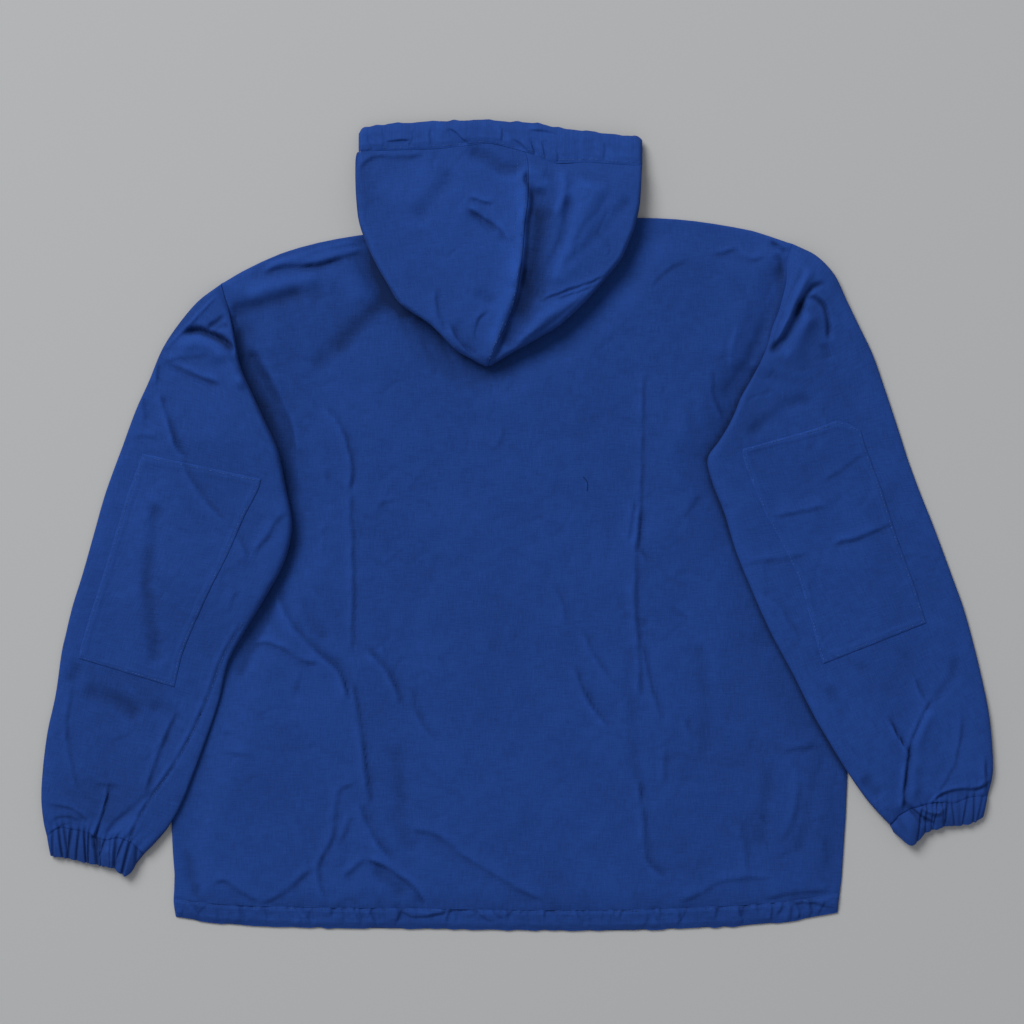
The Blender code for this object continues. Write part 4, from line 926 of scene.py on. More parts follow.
def new_material(name, colour, tones):
    """Matt canvas: an uneven plain weave with slubs, in slightly lighter and darker tones."""
    material = bpy.data.materials.new(name)
    material.use_nodes = True
    nodes, links = material.node_tree.nodes, material.node_tree.links
    surface = nodes["Principled BSDF"]
    set_inputs(surface, {"Roughness": 0.85, "Specular IOR Level": 0.12})
    set_inputs(surface, {"Sheen Weight": 0.05, "Sheen Roughness": 0.5})
    set_inputs(surface, {"Sheen Tint": (0.35, 0.5, 1.0, 1.0)})

    grain = nodes.new("ShaderNodeAttribute")
    grain.attribute_name = "grain"
    # Per-point tone: paler for wear at edges, seams and ridges, darker as painted shade in creases,
    # hollows and beside what lies on the cloth
    worn = nodes.new("ShaderNodeAttribute")
    worn.attribute_name = "worn"

    def math_node(operation, first, second):
        """The output of a sum on two values, each a number or another output."""
        node = nodes.new("ShaderNodeMath")
        node.operation = operation
        for socket, value in zip(node.inputs, (first, second)):
            if isinstance(value, (int, float)):
                socket.default_value = value
            else:
                links.new(value, socket)
        return node.outputs[0]

    def noise(scale, detail, roughness):
        """Noise of a scale, in bumps a metre, along the weft, the warp and through."""
        mapping = nodes.new("ShaderNodeMapping")
        set_inputs(mapping, {"Scale": scale})
        links.new(grain.outputs["Vector"], mapping.inputs["Vector"])
        texture = nodes.new("ShaderNodeTexNoise")
        set_inputs(texture, {"Scale": 1.0, "Detail": detail, "Roughness": roughness})
        links.new(mapping.outputs["Vector"], texture.inputs["Vector"])
        return math_node("SUBTRACT", texture.outputs["Fac"], 0.5)

    def total(terms):
        """The sum of outputs, each times its weight."""
        result = 0.0
        for weight, value in terms:
            result = math_node("ADD", math_node("MULTIPLY", value, weight), result)
        return result

    weft_slubs = noise((70.0, 850.0, 1.0), 2.0, 0.6)
    warp_slubs = noise((850.0, 70.0, 1.0), 2.0, 0.6)
    flecks = noise((520.0, 520.0, 1.0), 3.0, 0.7)
    patches = noise((14.0, 14.0, 1.0), 3.0, 0.55)

    separate = nodes.new("ShaderNodeSeparateXYZ")
    links.new(grain.outputs["Vector"], separate.inputs["Vector"])
    turns = math.pi / THREAD_SPACING
    weft = math_node("SINE", math_node("MULTIPLY", separate.outputs["X"], turns), 0.0)
    warp = math_node("SINE", math_node("MULTIPLY", separate.outputs["Y"], turns), 0.0)
    weave = math_node("MULTIPLY", weft, warp)

    shade = total(
        [(tones.slubs, weft_slubs), (tones.slubs, warp_slubs), (tones.flecks, flecks)]
        + [(tones.patches, patches), (tones.weave, weave), (tones.worn, worn.outputs["Fac"])]
    )
    mix = nodes.new("ShaderNodeMix")
    mix.data_type = "RGBA"
    mix.inputs["A"].default_value = (*(DARKEST * part for part in colour), 1.0)
    mix.inputs["B"].default_value = (*(LIGHTEST * part for part in colour), 1.0)
    links.new(math_node("ADD", shade, 0.5), mix.inputs["Factor"])
    links.new(mix.outputs["Result"], surface.inputs["Base Color"])

    bump = nodes.new("ShaderNodeBump")
    set_inputs(bump, {"Strength": 0.7, "Distance": WEAVE_DEPTH})
    uneven = [(0.35, weave), (1.2, weft_slubs), (1.2, warp_slubs), (0.8, flecks)]
    links.new(total(uneven), bump.inputs["Height"])
    links.new(bump.outputs["Normal"], surface.inputs["Normal"])
    return material


TONES = SimpleNamespace(slubs=0.36, flecks=0.27, patches=0.19, weave=0.018, worn=0.175)
CANVAS_MATERIAL = new_material("blue_canvas", CANVAS, TONES)
GATHERED_SHADED_MATERIAL = new_material("gathered_canvas", GATHERED_SHADED, TONES)
THREAD_MATERIAL = new_material("sewing_thread", THREAD_BLUE, TONES)


def add_mesh(name, points, quads, triangles, grain, worn, material):
    """A smooth-shaded mesh object from points in millimetres, with its faces outward."""
    corners = np.concatenate([quads.ravel(), triangles.ravel()])
    starts = np.concatenate(
        [np.arange(len(quads)) * 4, len(quads) * 4 + np.arange(len(triangles)) * 3]
    )
    halves = np.concatenate([quads[:, [0, 1, 2]], quads[:, [0, 2, 3]], triangles])
    a, b, c = (points[halves[:, k]] for k in range(3))
    if (a * np.cross(b, c)).sum() < 0.0:
        corners = np.concatenate([quads[:, ::-1].ravel(), triangles[:, ::-1].ravel()])
    mesh = bpy.data.meshes.new(name)
    mesh.vertices.add(len(points))
    mesh.vertices.foreach_set("co", (points * MM).astype(np.float32).ravel())
    mesh.loops.add(len(corners))
    mesh.loops.foreach_set("vertex_index", corners.astype(np.int32))
    mesh.polygons.add(len(starts))
    mesh.polygons.foreach_set("loop_start", starts.astype(np.int32))
    mesh.update(calc_edges=True)
    cloth = np.concatenate([grain * MM, np.zeros((len(grain), 1))], axis=1)
    attribute = mesh.attributes.new("grain", "FLOAT_VECTOR", "POINT")
    attribute.data.foreach_set("vector", cloth.astype(np.float32).ravel())
    attribute = mesh.attributes.new("worn", "FLOAT", "POINT")
    attribute.data.foreach_set("value", worn.astype(np.float32))
    mesh.shade_smooth()
    mesh.set_sharp_from_angle(angle=math.radians(65))
    mesh.materials.append(material)
    piece = add_object(name, mesh)
    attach(piece, BODY)
    return piece


def grid_quads(index):
    """Corner numbers of the squares between a grid's points."""
    corners = [index[:-1, :-1], index[:-1, 1:], index[1:, 1:], index[1:, :-1]]
    return np.stack(corners, axis=-1).reshape(-1, 4)


def numbered(grid, first=0):
    """The numbers of a grid's points, counted on from the first."""
    rows, columns = grid.shape[:2]
    return first + np.arange(rows * columns).reshape(rows, columns)


def ringed(index):
    """Point numbers of a grid whose rows are rings, closed by their first column."""
    return np.concatenate([index, index[:, :1]], axis=1)


def border(index):
    """A grid's border as one closed run of corner numbers."""
    runs = [index[0, :-1], index[:-1, -1], index[-1, :0:-1], index[:0:-1, 0]]
    return np.concatenate(runs)


def joined_runs(fine, coarse):
    """Triangles between a closed run of points and one with a point for every STRIDE."""
    fine, coarse = np.append(fine, fine[0]), np.append(coarse, coarse[0])
    half = STRIDE // 2
    faces = []
    for k in range(len(coarse) - 1):
        start = k * STRIDE
        for step in range(STRIDE):
            near = coarse[k] if step < half else coarse[k + 1]
            faces.append((fine[start + step + 1], fine[start + step], near))
        faces.append((fine[start + half], coarse[k], coarse[k + 1]))
    return np.array(faces)


def lowest_near(z, around):
    """The lowest height near each point that the hidden side keeps."""
    pad = [(STRIDE, STRIDE), (STRIDE, STRIDE)]
    if around:
        padded = np.pad(np.pad(z, [pad[0], (0, 0)], mode="edge"), [(0, 0), pad[1]], mode="wrap")
    else:
        padded = np.pad(z, pad, mode="edge")
    lowest = np.full(z.shape, np.inf)
    for down in range(2 * STRIDE + 1):
        for right in range(2 * STRIDE + 1):
            shifted = padded[down : down + z.shape[0], right : right + z.shape[1]]
            lowest = np.minimum(lowest, shifted)
    return lowest[::STRIDE, ::STRIDE]


def add_shell(name, fine, coarse, quads, triangles, grain, worn, material):
    """A shell's mesh from the points of its fine side and of its coarser hidden side."""
    points = np.concatenate([fine.reshape(-1, 3), coarse.reshape(-1, 3)])
    grain = np.concatenate([grain.reshape(-1, 2), grain[::STRIDE, ::STRIDE].reshape(-1, 2)])
    worn = np.concatenate([worn.ravel(), worn[::STRIDE, ::STRIDE].ravel()])
    return add_mesh(name, points, quads, triangles, grain, worn, material)


def stand_for(piece, node):
    """Hide the solid that a piece takes the place of, and give back the piece."""
    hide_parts(node)
    return piece


def add_panel(name, top, grain, worn, wall=CLOTH, floor=None):
    """A closed shell of cloth under a fine grid of points, with a coarser hidden side."""
    low = top[::STRIDE, ::STRIDE].copy()
    above = low[..., 2].copy()
    low[1:-1, 1:-1, 2] = lowest_near(top[..., 2], False)[1:-1, 1:-1]
    low[..., 2] -= wall
    if floor is not None:
        low[..., 2] = np.minimum(np.maximum(low[..., 2], floor), above - THINNEST)
    fine, coarse = numbered(top), numbered(low, top[..., 2].size)
    quads = np.concatenate([grid_quads(fine), grid_quads(coarse)[:, ::-1]])
    triangles = joined_runs(border(fine), border(coarse))
    return add_shell(name, top, low, quads, triangles, grain, worn, CANVAS_MATERIAL)


def add_tube(name, outside, inside, grain, worn, material):
    """A closed wall round a hollow: fine rings outside and coarser rings inside."""
    fine, coarse = numbered(outside), numbered(inside, outside[..., 2].size)
    quads = np.concatenate([grid_quads(ringed(fine)), grid_quads(ringed(coarse))[:, ::-1]])
    first = joined_runs(fine[0], coarse[0])
    last = joined_runs(fine[-1], coarse[-1])[:, ::-1]
    triangles = np.concatenate([first, last])
    return add_shell(name, outside, inside, quads, triangles, grain, worn, material)


def crease_wear_and_shade(creased):
    """How much lighter cloth is painted on ridges, as wear, and darker in troughs, as painted
    shade.
    """
    return CREASE_WEAR_AND_SHADE_LIMIT * np.tanh(CREASE_WEAR_AND_SHADE / CREASE_WEAR_AND_SHADE_LIMIT * np.minimum(creased, CREASE_WEAR_AND_SHADE_LIMIT))


def ridges(z, passes=14):
    """How far each point of a grid stands above the mean of its surroundings."""
    mean = z.copy()
    for _ in range(passes):
        for axis in (0, 1):
            padded = np.pad(mean, [(1, 1) if k == axis else (0, 0) for k in (0, 1)], mode="edge")
            size = mean.shape[axis]
            low = np.take(padded, np.arange(0, size), axis=axis)
            high = np.take(padded, np.arange(2, size + 2), axis=axis)
            mean = (low + 2.0 * mean + high) / 4.0
    return np.clip(z - mean, -2.0, 1.0)


def near_line(x, y, outline, reach):
    """1 along an outline, fading to 0 at the given reach from it."""
    return 1.0 - smooth_step(np.abs(depth_inside(x, y, outline)) / reach)


def plan_area(x, y):
    """Area in square metres of a grid of points, seen from above."""
    across_x, across_y = x[:-1, 1:] - x[:-1, :-1], y[:-1, 1:] - y[:-1, :-1]
    up_x, up_y = x[1:, :-1] - x[:-1, :-1], y[1:, :-1] - y[:-1, :-1]
    return float(np.abs(across_x * up_y - across_y * up_x).sum()) * MM * MM


def denser_where_bare(across, up):
    """Fractions across the back, moved so that few columns lie under the sleeves."""
    first, last = across[:, :1], across[:, -1:]
    _, y = panel_plan(first + 0.5 * (last - first), up[:, :1], NECK_DROP_BACK)
    left, right = side_x(y, "left"), side_x(y, "right")
    inner_left = np.interp(y, LEFT_SLEEVE.inner_y[::-1], LEFT_SLEEVE.inner_x[::-1])
    inner_right = np.interp(y, RIGHT_SLEEVE.inner_y[::-1], RIGHT_SLEEVE.inner_x[::-1])
    start = np.clip((inner_left - 12.0 - left) / (right - left), 0.0, 0.5)
    end = np.clip((inner_right + 12.0 - left) / (right - left), 0.5, 1.0)
    few = 0.25
    total = few * start + (end - start) + few * (1.0 - end)
    run = across * total
    bare = start + run - few * start
    moved = np.where(run < few * start, run / few, bare)
    return np.where(bare > end, end + (bare - end) / few, moved)


def sewn_line(x, distance, depth):
    """Depth of the line sewn above the hem, uneven along it, by distance from it."""
    return depth * bell(distance, SEAM_LINE) * (0.6 + 0.6 * soft_noise(x, 0.0 * x, 7.0, 34))


def make_back():
    """The back panel above its hem, the hem and what they are cut from."""
    length = PANEL_LENGTH - HEM_WIDTH
    up = HEM_SHARE - 0.3 / PANEL_LENGTH + (1.0 - HEM_SHARE) * with_margins(length, BACK_GRID.along)
    across, up = np.meshgrid(with_margins(BACK_ACROSS, BACK_GRID.across), np.minimum(up, 1.0))
    across = denser_where_bare(across, up)
    x, y = panel_plan(across, up, NECK_DROP_BACK)
    z, shade = back_top(x, y)
    drop = (up - HEM_SHARE) * PANEL_LENGTH
    z = z - sewn_line(x, drop, 0.3)
    pucker = 0.6 * soft_noise(x, y * 0.35, 8.0, 21) * np.exp(-drop / 8.0)
    z = np.maximum(z + pucker, FLAT_TOP - 0.8)
    grain = stacked(x, y)
    # Paler along the rubbed outline and as wear on ridges; painted shade in hollows, pucker
    # troughs, creases and beside what lies on the panel
    worn = 0.5 * near_line(x, y, BODY_OUTLINE, 3.0) + RIDGE_WEAR_AND_HOLLOW_SHADE * ridges(z) + shade + 0.5 * crease_wear_and_shade(pucker)
    back = add_panel("back_panel", stacked(x, y, z), grain, worn, floor=CLOTH + SEAM_GAP)
    return stand_for(back, "back"), x, y


def hem_puckers():
    """Short creases across the hem, at uneven distances and leaning both ways."""
    places = np.random.default_rng(17)
    puckers = []
    for x in np.arange(184.0, 832.0, 11.0):
        x = x + places.uniform(-5.0, 5.0)
        lean, bend = places.uniform(-13.0, 15.0), places.uniform(-4.0, 4.0)
        start, end = places.uniform(893.0, 906.0), places.uniform(915.0, 930.0)
        path = [(x, start), (x + 0.5 * lean + bend, (start + end) / 2.0), (x + lean, end)]
        puckers.append(Crease(STEP, places.uniform(0.15, 0.8), places.uniform(2.2, 3.4), path))
    return puckers


def make_hem():
    """The turned-up hem with its drawcord channel, above the front panel."""
    up = HEM_SHARE * with_margins(HEM_WIDTH, HEM_GRID.along)
    across, up = np.meshgrid(with_margins(HEM_ACROSS, HEM_GRID.across), up)
    x, y = panel_plan(across, up, NECK_DROP_BACK)
    drop = up * PANEL_LENGTH
    inside = depth_inside(x, y, BODY_OUTLINE)
    y = y - 0.9 * (0.4 + soft_noise(x, 0.0 * x, 9.0, 33)) * (1.0 - smooth_step(drop / 8.0))
    swell = HEM_SWELL * smooth_step(drop / 7.0) * smooth_step((HEM_WIDTH - drop) / 5.0)
    wave = 0.35 * soft_noise(x, drop * 0.4, 11.0, 31) + 0.22 * soft_noise(x, drop, 5.0, 32)
    puckered = relief(x, y, HEM_CREASES + hem_puckers()) + wave * smooth_step(drop / 5.0)
    at_seam = sewn_line(x, HEM_WIDTH - drop, 1.0)
    panel, _ = back_top(x, y)
    top = np.maximum(panel + swell + puckered - 0.4 * at_seam, HEM_EDGE + 0.4)
    z = HEM_EDGE + (top - HEM_EDGE) * rolled(inside + 0.05, HEM_ROLL)
    grain = stacked(x, y)
    # Painted shade in the puckers' troughs and paler crests, paler at the rubbed lower edge, darker
    # along the sewn line
    worn = crease_wear_and_shade(puckered) + 0.5 * (1.0 - smooth_step(drop / 3.0)) - 0.4 * at_seam - 0.1
    hem = add_panel("back_hem", stacked(x, y, z), grain, worn, floor=CLOTH + SEAM_GAP)
    return stand_for(hem, "back")


def make_front():
    """The front panel under the back: its lower side rests on the surface."""
    up = with_margins(PANEL_LENGTH, FRONT_GRID.along)
    across, up = np.meshgrid(with_margins(FRONT_ACROSS, FRONT_GRID.across), up)
    x, y = panel_plan(across, up, NECK_DROP_FRONT)
    lifted = relief(x, y, FRONT_CREASES) + 0.5 * crumple(x, y, 5) + 0.1
    z = np.clip(lifted, 0.0, 0.8) * smooth_step(depth_inside(x, y, BODY_OUTLINE) / 10.0)
    under = stacked(x, y, z)
    grain = stacked(x, y)
    worn = np.zeros(x.shape)
    front = add_panel("front_panel", under, grain, worn)
    mesh = front.data
    points = np.zeros(len(mesh.vertices) * 3, np.float32)
    mesh.vertices.foreach_get("co", points)
    points = points.reshape(-1, 3)
    points[x.size :, 2] = CLOTH * MM
    mesh.vertices.foreach_set("co", points.ravel())
    mesh.flip_normals()
    mesh.update()
    return stand_for(front, "front"), x, y


@dataclass
class Sleeve:
    """A flattened sleeve: where each point of its upper and lower side lies."""

    side: str
    rows: SimpleNamespace
    creases: list
    shades: list
    patch_top: SimpleNamespace
    cuff_lines: SimpleNamespace
    gathers: SimpleNamespace
    cuff_creases: list
    seed: int

    def __post_init__(self):
        rows = self.rows
        self.count = len(rows.outer_x) - 1
        middle_x = (rows.outer_x + rows.inner_x) / 2.0
        middle_y = (rows.outer_y + rows.inner_y) / 2.0
        gaps = np.hypot(np.diff(middle_x), np.diff(middle_y))
        self.run = np.concatenate([[0.0], np.cumsum(gaps)])

    def at(self, station, column):
        """A column of the sleeve's table at a section number, whole or not."""
        return by_section(station, getattr(self.rows, column))

    def width(self, station):
        """Distance between the sleeve's two edges."""
        across_x = self.at(station, "outer_x") - self.at(station, "inner_x")
        return np.hypot(across_x, self.at(station, "outer_y") - self.at(station, "inner_y"))

    def grain(self, station, across):
        """Place on the flat cloth: across the sleeve and along it."""
        along = np.interp(station, np.arange(len(self.run)), self.run)
        return stacked((across - 0.5) * self.width(station), along)

    def cuff_line(self, across, column):
        """A column of the cuff's table, a fraction of the way across."""
        return smooth_curve(across, self.cuff_lines.across, getattr(self.cuff_lines, column))

    def gathered(self, across, down=0.0):
        """Depth of the cuff's gathers, from 0 on a crest to 1 in a valley."""
        g = self.gathers
        place = g.across + g.lean * np.asarray(down)[..., None]
        out = (across[..., None] - place) / g.width
        return np.max(g.depth * np.exp(-out * out), axis=-1)

    def plan(self, station, across):
        """Where a point lies, bent to the body's side and to the cuff's seam at the ends."""
        x = between(self.at(station, "outer_x"), self.at(station, "inner_x"), across)
        y = between(self.at(station, "outer_y"), self.at(station, "inner_y"), across)
        near_armhole = 1.0 - smooth_step(station / SEAM_REACH)
        near_cuff = 1.0 - smooth_step((self.count - station) / SEAM_REACH)
        first_y = between(self.rows.outer_y[0], self.rows.inner_y[0], across)
        straight = between(self.rows.outer_x[0], self.rows.inner_x[0], across)
        outward = -1.0 if self.side == "left" else 1.0
        bend = side_x(first_y, self.side) + outward * ARMHOLE_GAP - straight
        return x + bend * near_armhole, y - self.cuff_line(across, "seam") * near_cuff

    def shade(self, x, y):
        """How much lighter or darker the cloth is painted at each point: painted shade in troughs
        and along its shade bands, and wear on ridges.
        """
        creased = relief(x, y, self.creases) + crumple(x, y, self.seed)
        return crease_wear_and_shade(creased) + relief(x, y, self.shades)

    def rest(self, station, x, y):
        """Height of what the sleeve lies on, tucked into the body at the armhole."""
        return np.maximum(ground(x, y, RAMP_UNDER) - ARMHOLE_TUCK * (1 - smooth_step(station)), 0)

    def span(self, station, across):
        """Plan of each point, and the heights that the sleeve's smooth form lies between."""
        x, y = self.plan(station, across)
        outer, inner = self.at(station, "outer_height"), self.at(station, "inner_height")
        height = outer + (inner - outer) * smooth_step(across)
        return x, y, self.rest(station, x, y), ground(x, y, RAMP_OVER) + height

    def upper(self, station, across):
        """Points of the sleeve's upper side."""
        station, across = np.broadcast_arrays(station, across)
        x, y, low, high = self.span(station, across)
        creased = relief(x, y, self.creases) + crumple(x, y, self.seed)
        creased = creased * smooth_step(station / 1.5)
        to_cuff = (self.run[-1] / self.count) * (self.count - station)
        gather = 2.8 * self.gathered(across) * np.exp(-to_cuff / GATHER_FADE)
        high = high + creased - gather
        high = high - 0.9 * bell(to_cuff, 2.5)
        high = high - ARMHOLE_SINK * bell(station * self.run[1], 4.0)
        high = np.maximum(high, low + 2.0 * CLOTH + HOLLOW)
        middle = (low + high) / 2.0
        sharpness = np.where(across < 0.5, SQUARE_TOP, SQUARE_INNER)
        return stacked(x, y, middle + (high - middle) * edge_round(across, sharpness))

    def lower(self, station, across, wall=0.0):
        """Points of the sleeve's lower side, or of its hollow, one wall further in."""
        station, across = np.broadcast_arrays(station, across)
        x, y, low, high = self.span(station, across)
        high = np.maximum(high, low + 2.0 * CLOTH + HOLLOW)
        middle = (low + high) / 2.0
        return stacked(x, y, middle - (middle - low - wall) * edge_round(across, SQUARE_LOW))


def make_sleeve(sleeve):
    """The sleeve as a hollow tube, fine on its upper side."""
    station = np.linspace(0.0, sleeve.count, SLEEVE_GRID.along)[:, None]
    top = with_margins(SLEEVE_ACROSS, SLEEVE_GRID.across)[None, :]
    low = np.linspace(0.97, 0.03, 23)[None, :]
    upper = sleeve.upper(station, top)
    lower = sleeve.lower(station, low)
    outside = np.concatenate([upper, lower], axis=1)
    across = np.concatenate([top, low], axis=1)
    grain = sleeve.grain(station, np.broadcast_to(across, outside.shape[:2]))
    seam = 1.0 - smooth_step(np.minimum(station, sleeve.count - station) / 0.12)
    worn = 0.5 * seam + np.zeros(outside.shape[:2])
    # Painted shade in hollows, creases and along the shade bands; paler wear on ridges
    worn[:, : top.shape[1]] += RIDGE_WEAR_AND_HOLLOW_SHADE * ridges(upper[..., 2])
    worn[:, : top.shape[1]] += sleeve.shade(upper[..., 0], upper[..., 1])
    inside = outside[::STRIDE, ::STRIDE].copy()
    ring = across[0, ::STRIDE]
    drawn_in = CLOTH / sleeve.width(station[::STRIDE])
    within = drawn_in + ring[None, :] * (1.0 - 2.0 * drawn_in)
    x, y = sleeve.plan(station[::STRIDE], within)
    floor_z = sleeve.lower(station[::STRIDE], ring[None, :], CLOTH)[..., 2]
    is_top = np.arange(len(across[0]))[::STRIDE] < top.shape[1]
    roof_z = lowest_near(outside[..., 2], True) - CLOTH
    inside[..., 0], inside[..., 1] = x, y
    inside[..., 2] = np.where(is_top, np.maximum(roof_z, floor_z + 0.1), floor_z)
    name = "sleeve_" + sleeve.side
    tube = add_tube(name + "_cloth", outside, inside, grain, worn, CANVAS_MATERIAL)
    return stand_for(tube, name), 2.0 * plan_area(upper[..., 0], upper[..., 1])


def patch_place(sleeve, patch_rows, along, part):
    """Section and fraction across the sleeve of a point of its patch."""
    rows = patch_rows.last - patch_rows.first
    pace = (sleeve.run[patch_rows.last] - sleeve.run[patch_rows.first]) / rows
    rise = smooth_curve(part, sleeve.patch_top.part, sleeve.patch_top.rise)
    station = patch_rows.first + rows * along - rise / pace * (1.0 - along) ** 1.5
    start, end = sleeve.at(station, "patch_from"), sleeve.at(station, "patch_to")
    return station, start + (end - start) * part


def make_patch(sleeve, patch_rows):
    """The elbow patch: turned under at its edges and sewn flat on the sleeve."""
    length = sleeve.run[patch_rows.last] - sleeve.run[patch_rows.first]
    along = with_margins(length, PATCH_GRID.along)[:, None]
    part = with_margins(PATCH_ACROSS, PATCH_GRID.across)[None, :]
    station, across = patch_place(sleeve, patch_rows, along, part)
    upper = sleeve.upper(station, across)
    width = np.abs(across[:, -1:] - across[:, :1]) * sleeve.width(station)
    aside = np.minimum(part, 1.0 - part) * width
    endwise = np.minimum(along, 1.0 - along) * length
    depth = np.minimum(aside, endwise)
    pucker = 0.18 * soft_noise(upper[..., 0], upper[..., 1], 5.0, sleeve.seed + 7)
    turned = 0.55 * smooth_step((8.0 - depth) / 2.0) - 0.35 * bell(depth - 2.4, 1.0)
    lift = 0.25 + 0.55 * smooth_step(depth / 2.0) + turned * smooth_step(depth / 1.0)
    upper[..., 2] += lift + pucker * np.exp(-depth / 6.0)
    grain = sleeve.grain(station, across)[..., ::-1]
    frayed = 1.0 + 0.8 * soft_noise(upper[..., 0], upper[..., 1], 2.6, sleeve.seed + 9)
    # Paler at the frayed turned edge and as wear on ridges; painted shade in hollows and creases
    worn = 0.7 * frayed * (1.0 - smooth_step(depth / 2.2)) + 0.06 + RIDGE_WEAR_AND_HOLLOW_SHADE * ridges(upper[..., 2])
    worn = worn + sleeve.shade(upper[..., 0], upper[..., 1])
    name = "elbow_patch_" + sleeve.side
    patch = add_panel(name + "_cloth", upper, grain, worn, wall=PATCH_CLOTH)
    return stand_for(patch, name), plan_area(upper[..., 0], upper[..., 1])


def make_cuff(sleeve, corners):
    """The cuff, gathered on elastic into uneven crests, open at the hand."""
    down = np.linspace(-0.02, 1.0, CUFF_GRID.along)[:, None]
    top = np.linspace(0.0, 1.0, CUFF_GRID.across)[None, :]
    low = np.linspace(0.985, 0.015, 67)[None, :]
    across = np.concatenate([top, low], axis=1)
    is_top = np.arange(across.shape[1])[None, :] < top.shape[1]
    rows, lines = sleeve.rows, sleeve.cuff_line
    seam_x = between(rows.outer_x[-1], rows.inner_x[-1], across)
    seam_y = between(rows.outer_y[-1], rows.inner_y[-1], across) - lines(across, "seam")
    edge_x = between(corners.outer_x, corners.inner_x, across)
    edge_y = between(corners.outer_y, corners.inner_y, across) - lines(across, "edge")
    gather = sleeve.gathered(*np.broadcast_arrays(across, down))
    edge_y = edge_y + 1.6 * sleeve.gathered(across, 1.0) - 0.6
    edge_y = edge_y + 0.9 * soft_noise(across * CUFF_WIDTH, 0.0 * across, 4.0, sleeve.seed + 5)
    swell = lines(across, "swell")

    def ring(wall, depth):
        """Rings of the cuff, a wall further in, with gathers of a share of their depth."""
        x = seam_x + (edge_x - seam_x) * down
        y = seam_y + (edge_y - seam_y) * down
        full = 0.74 + 0.36 * np.sin(math.pi * np.clip(down * 0.9 + 0.08, 0.0, 1.0)) ** 0.8
        middle = (CUFF_HEIGHT + swell) * full / 2.0
        crest = depth * (1.0 - gather)
        upper = middle + (middle - wall) * edge_round(across, SQUARE_TOP) * (0.3 + 0.7 * crest)
        upper = upper + depth * relief(x, y, sleeve.cuff_creases)
        lower = middle - (middle - wall) * edge_round(across, SQUARE_LOW) * (0.8 + 0.2 * crest)
        return stacked(x, y, np.where(is_top, upper, lower))

    outside = ring(0.0, 1.0)
    inside = ring(2.6, 0.35)[::STRIDE, ::STRIDE]
    along = down * CUFF_LENGTH + CUFF_START
    grain = stacked((across - 0.5) * CUFF_WIDTH * CUFF_STRETCH, along)
    # Paler at the rubbed hand edge; darker in the gathers' valleys and in creases, as painted shade
    worn = 0.7 * (1.0 - smooth_step((1.0 - down) / 0.1)) + 0.5 - 2.0 * gather
    worn = worn + crease_wear_and_shade(relief(outside[..., 0], outside[..., 1], sleeve.cuff_creases))
    name = "cuff_" + sleeve.side
    cuff = add_tube(name + "_cloth", outside, inside, grain, worn, GATHERED_SHADED_MATERIAL)
    return stand_for(cuff, name)


def hood_smooth(x, y):
    """Upper side of the folded hood without creases, and how deep inside it."""
    inside = np.maximum(depth_inside(x, y, HOOD_OUTLINE), 0.0)
    height = smooth_curve(y, HOOD_HEIGHTS.y, HOOD_HEIGHTS.height)
    share = HOOD_EDGE + (1.0 - HOOD_EDGE) * rolled(inside, HOOD_ROLL)
    return ground(x, y, RAMP_OVER) + height * share, inside


def hood_top(x, y):
    """Upper side of the folded hood with its ridge and creases, and its painted light and shade."""
    smooth, inside = hood_smooth(x, y)
    creased = relief(x, y, HOOD_CREASES) + crumple(x, y, 11)
    creased = creased - 0.6 * np.minimum(creased + HOOD_DEEP, 0.0)
    return smooth + creased * smooth_step(inside / 9.0), crease_wear_and_shade(creased) + relief(x, y, HOOD_PAINTED_LIGHT_AND_SHADE)


def stitch_y(x):
    """Y of the stitched line under the casing."""
    return smooth_curve(x, CASING_SECTIONS.x, CASING_SECTIONS.stitch_y)


def hood_plan(half, across, station):
    """Plan of a point on a hood half: across it from the seam to its outline."""

    def at(column):
        return by_section(station, getattr(HOOD_SECTIONS, column))

    x = at("seam_x") + (at(half + "_x") - at("seam_x")) * across
    y = at("seam_y") + (at(half + "_y") - at("seam_y")) * across
    side = -1.0 if half == "left" else 1.0
    x = x + side * SEAM_GAP / 2.0 * (1.0 - across)
    near_casing = 1.0 - smooth_step(station / 2.0)
    return x, y + (stitch_y(x) - SEAM_GAP - y) * near_casing


def make_hood_half(half):
    """One half of the hood, rolled down at its outline."""
    station = np.linspace(0.0, len(HOOD_SECTIONS.seam_x) - 1.0, HOOD_GRID.along)[:, None]
    across = with_margins(HOOD_ACROSS, HOOD_GRID.across)[None, :]
    x, y = hood_plan(half, across, station)
    z, shade = hood_top(x, y)
    seam_distance = across * HOOD_ACROSS
    groove = 0.4 * bell(seam_distance, 1.2)
    below_casing = 0.5 * bell(station, 0.12)
    z = z - groove - below_casing
    turn = math.radians(-6.0 if half == "left" else 8.0)
    cos, sin = math.cos(turn), math.sin(turn)
    grain = stacked(x * cos - y * sin, x * sin + y * cos)
    # Paler along the rubbed seam and as wear on ridges; painted shade in hollows and creases, and
    # painted light and shade along the hood's bands
    worn = 0.35 * bell(seam_distance, 2.5) + RIDGE_WEAR_AND_HOLLOW_SHADE * ridges(z) + shade
    piece = add_panel("hood_" + half + "_cloth", stacked(x, y, z), grain, worn)
    return stand_for(piece, "hood_" + half), plan_area(x, y)


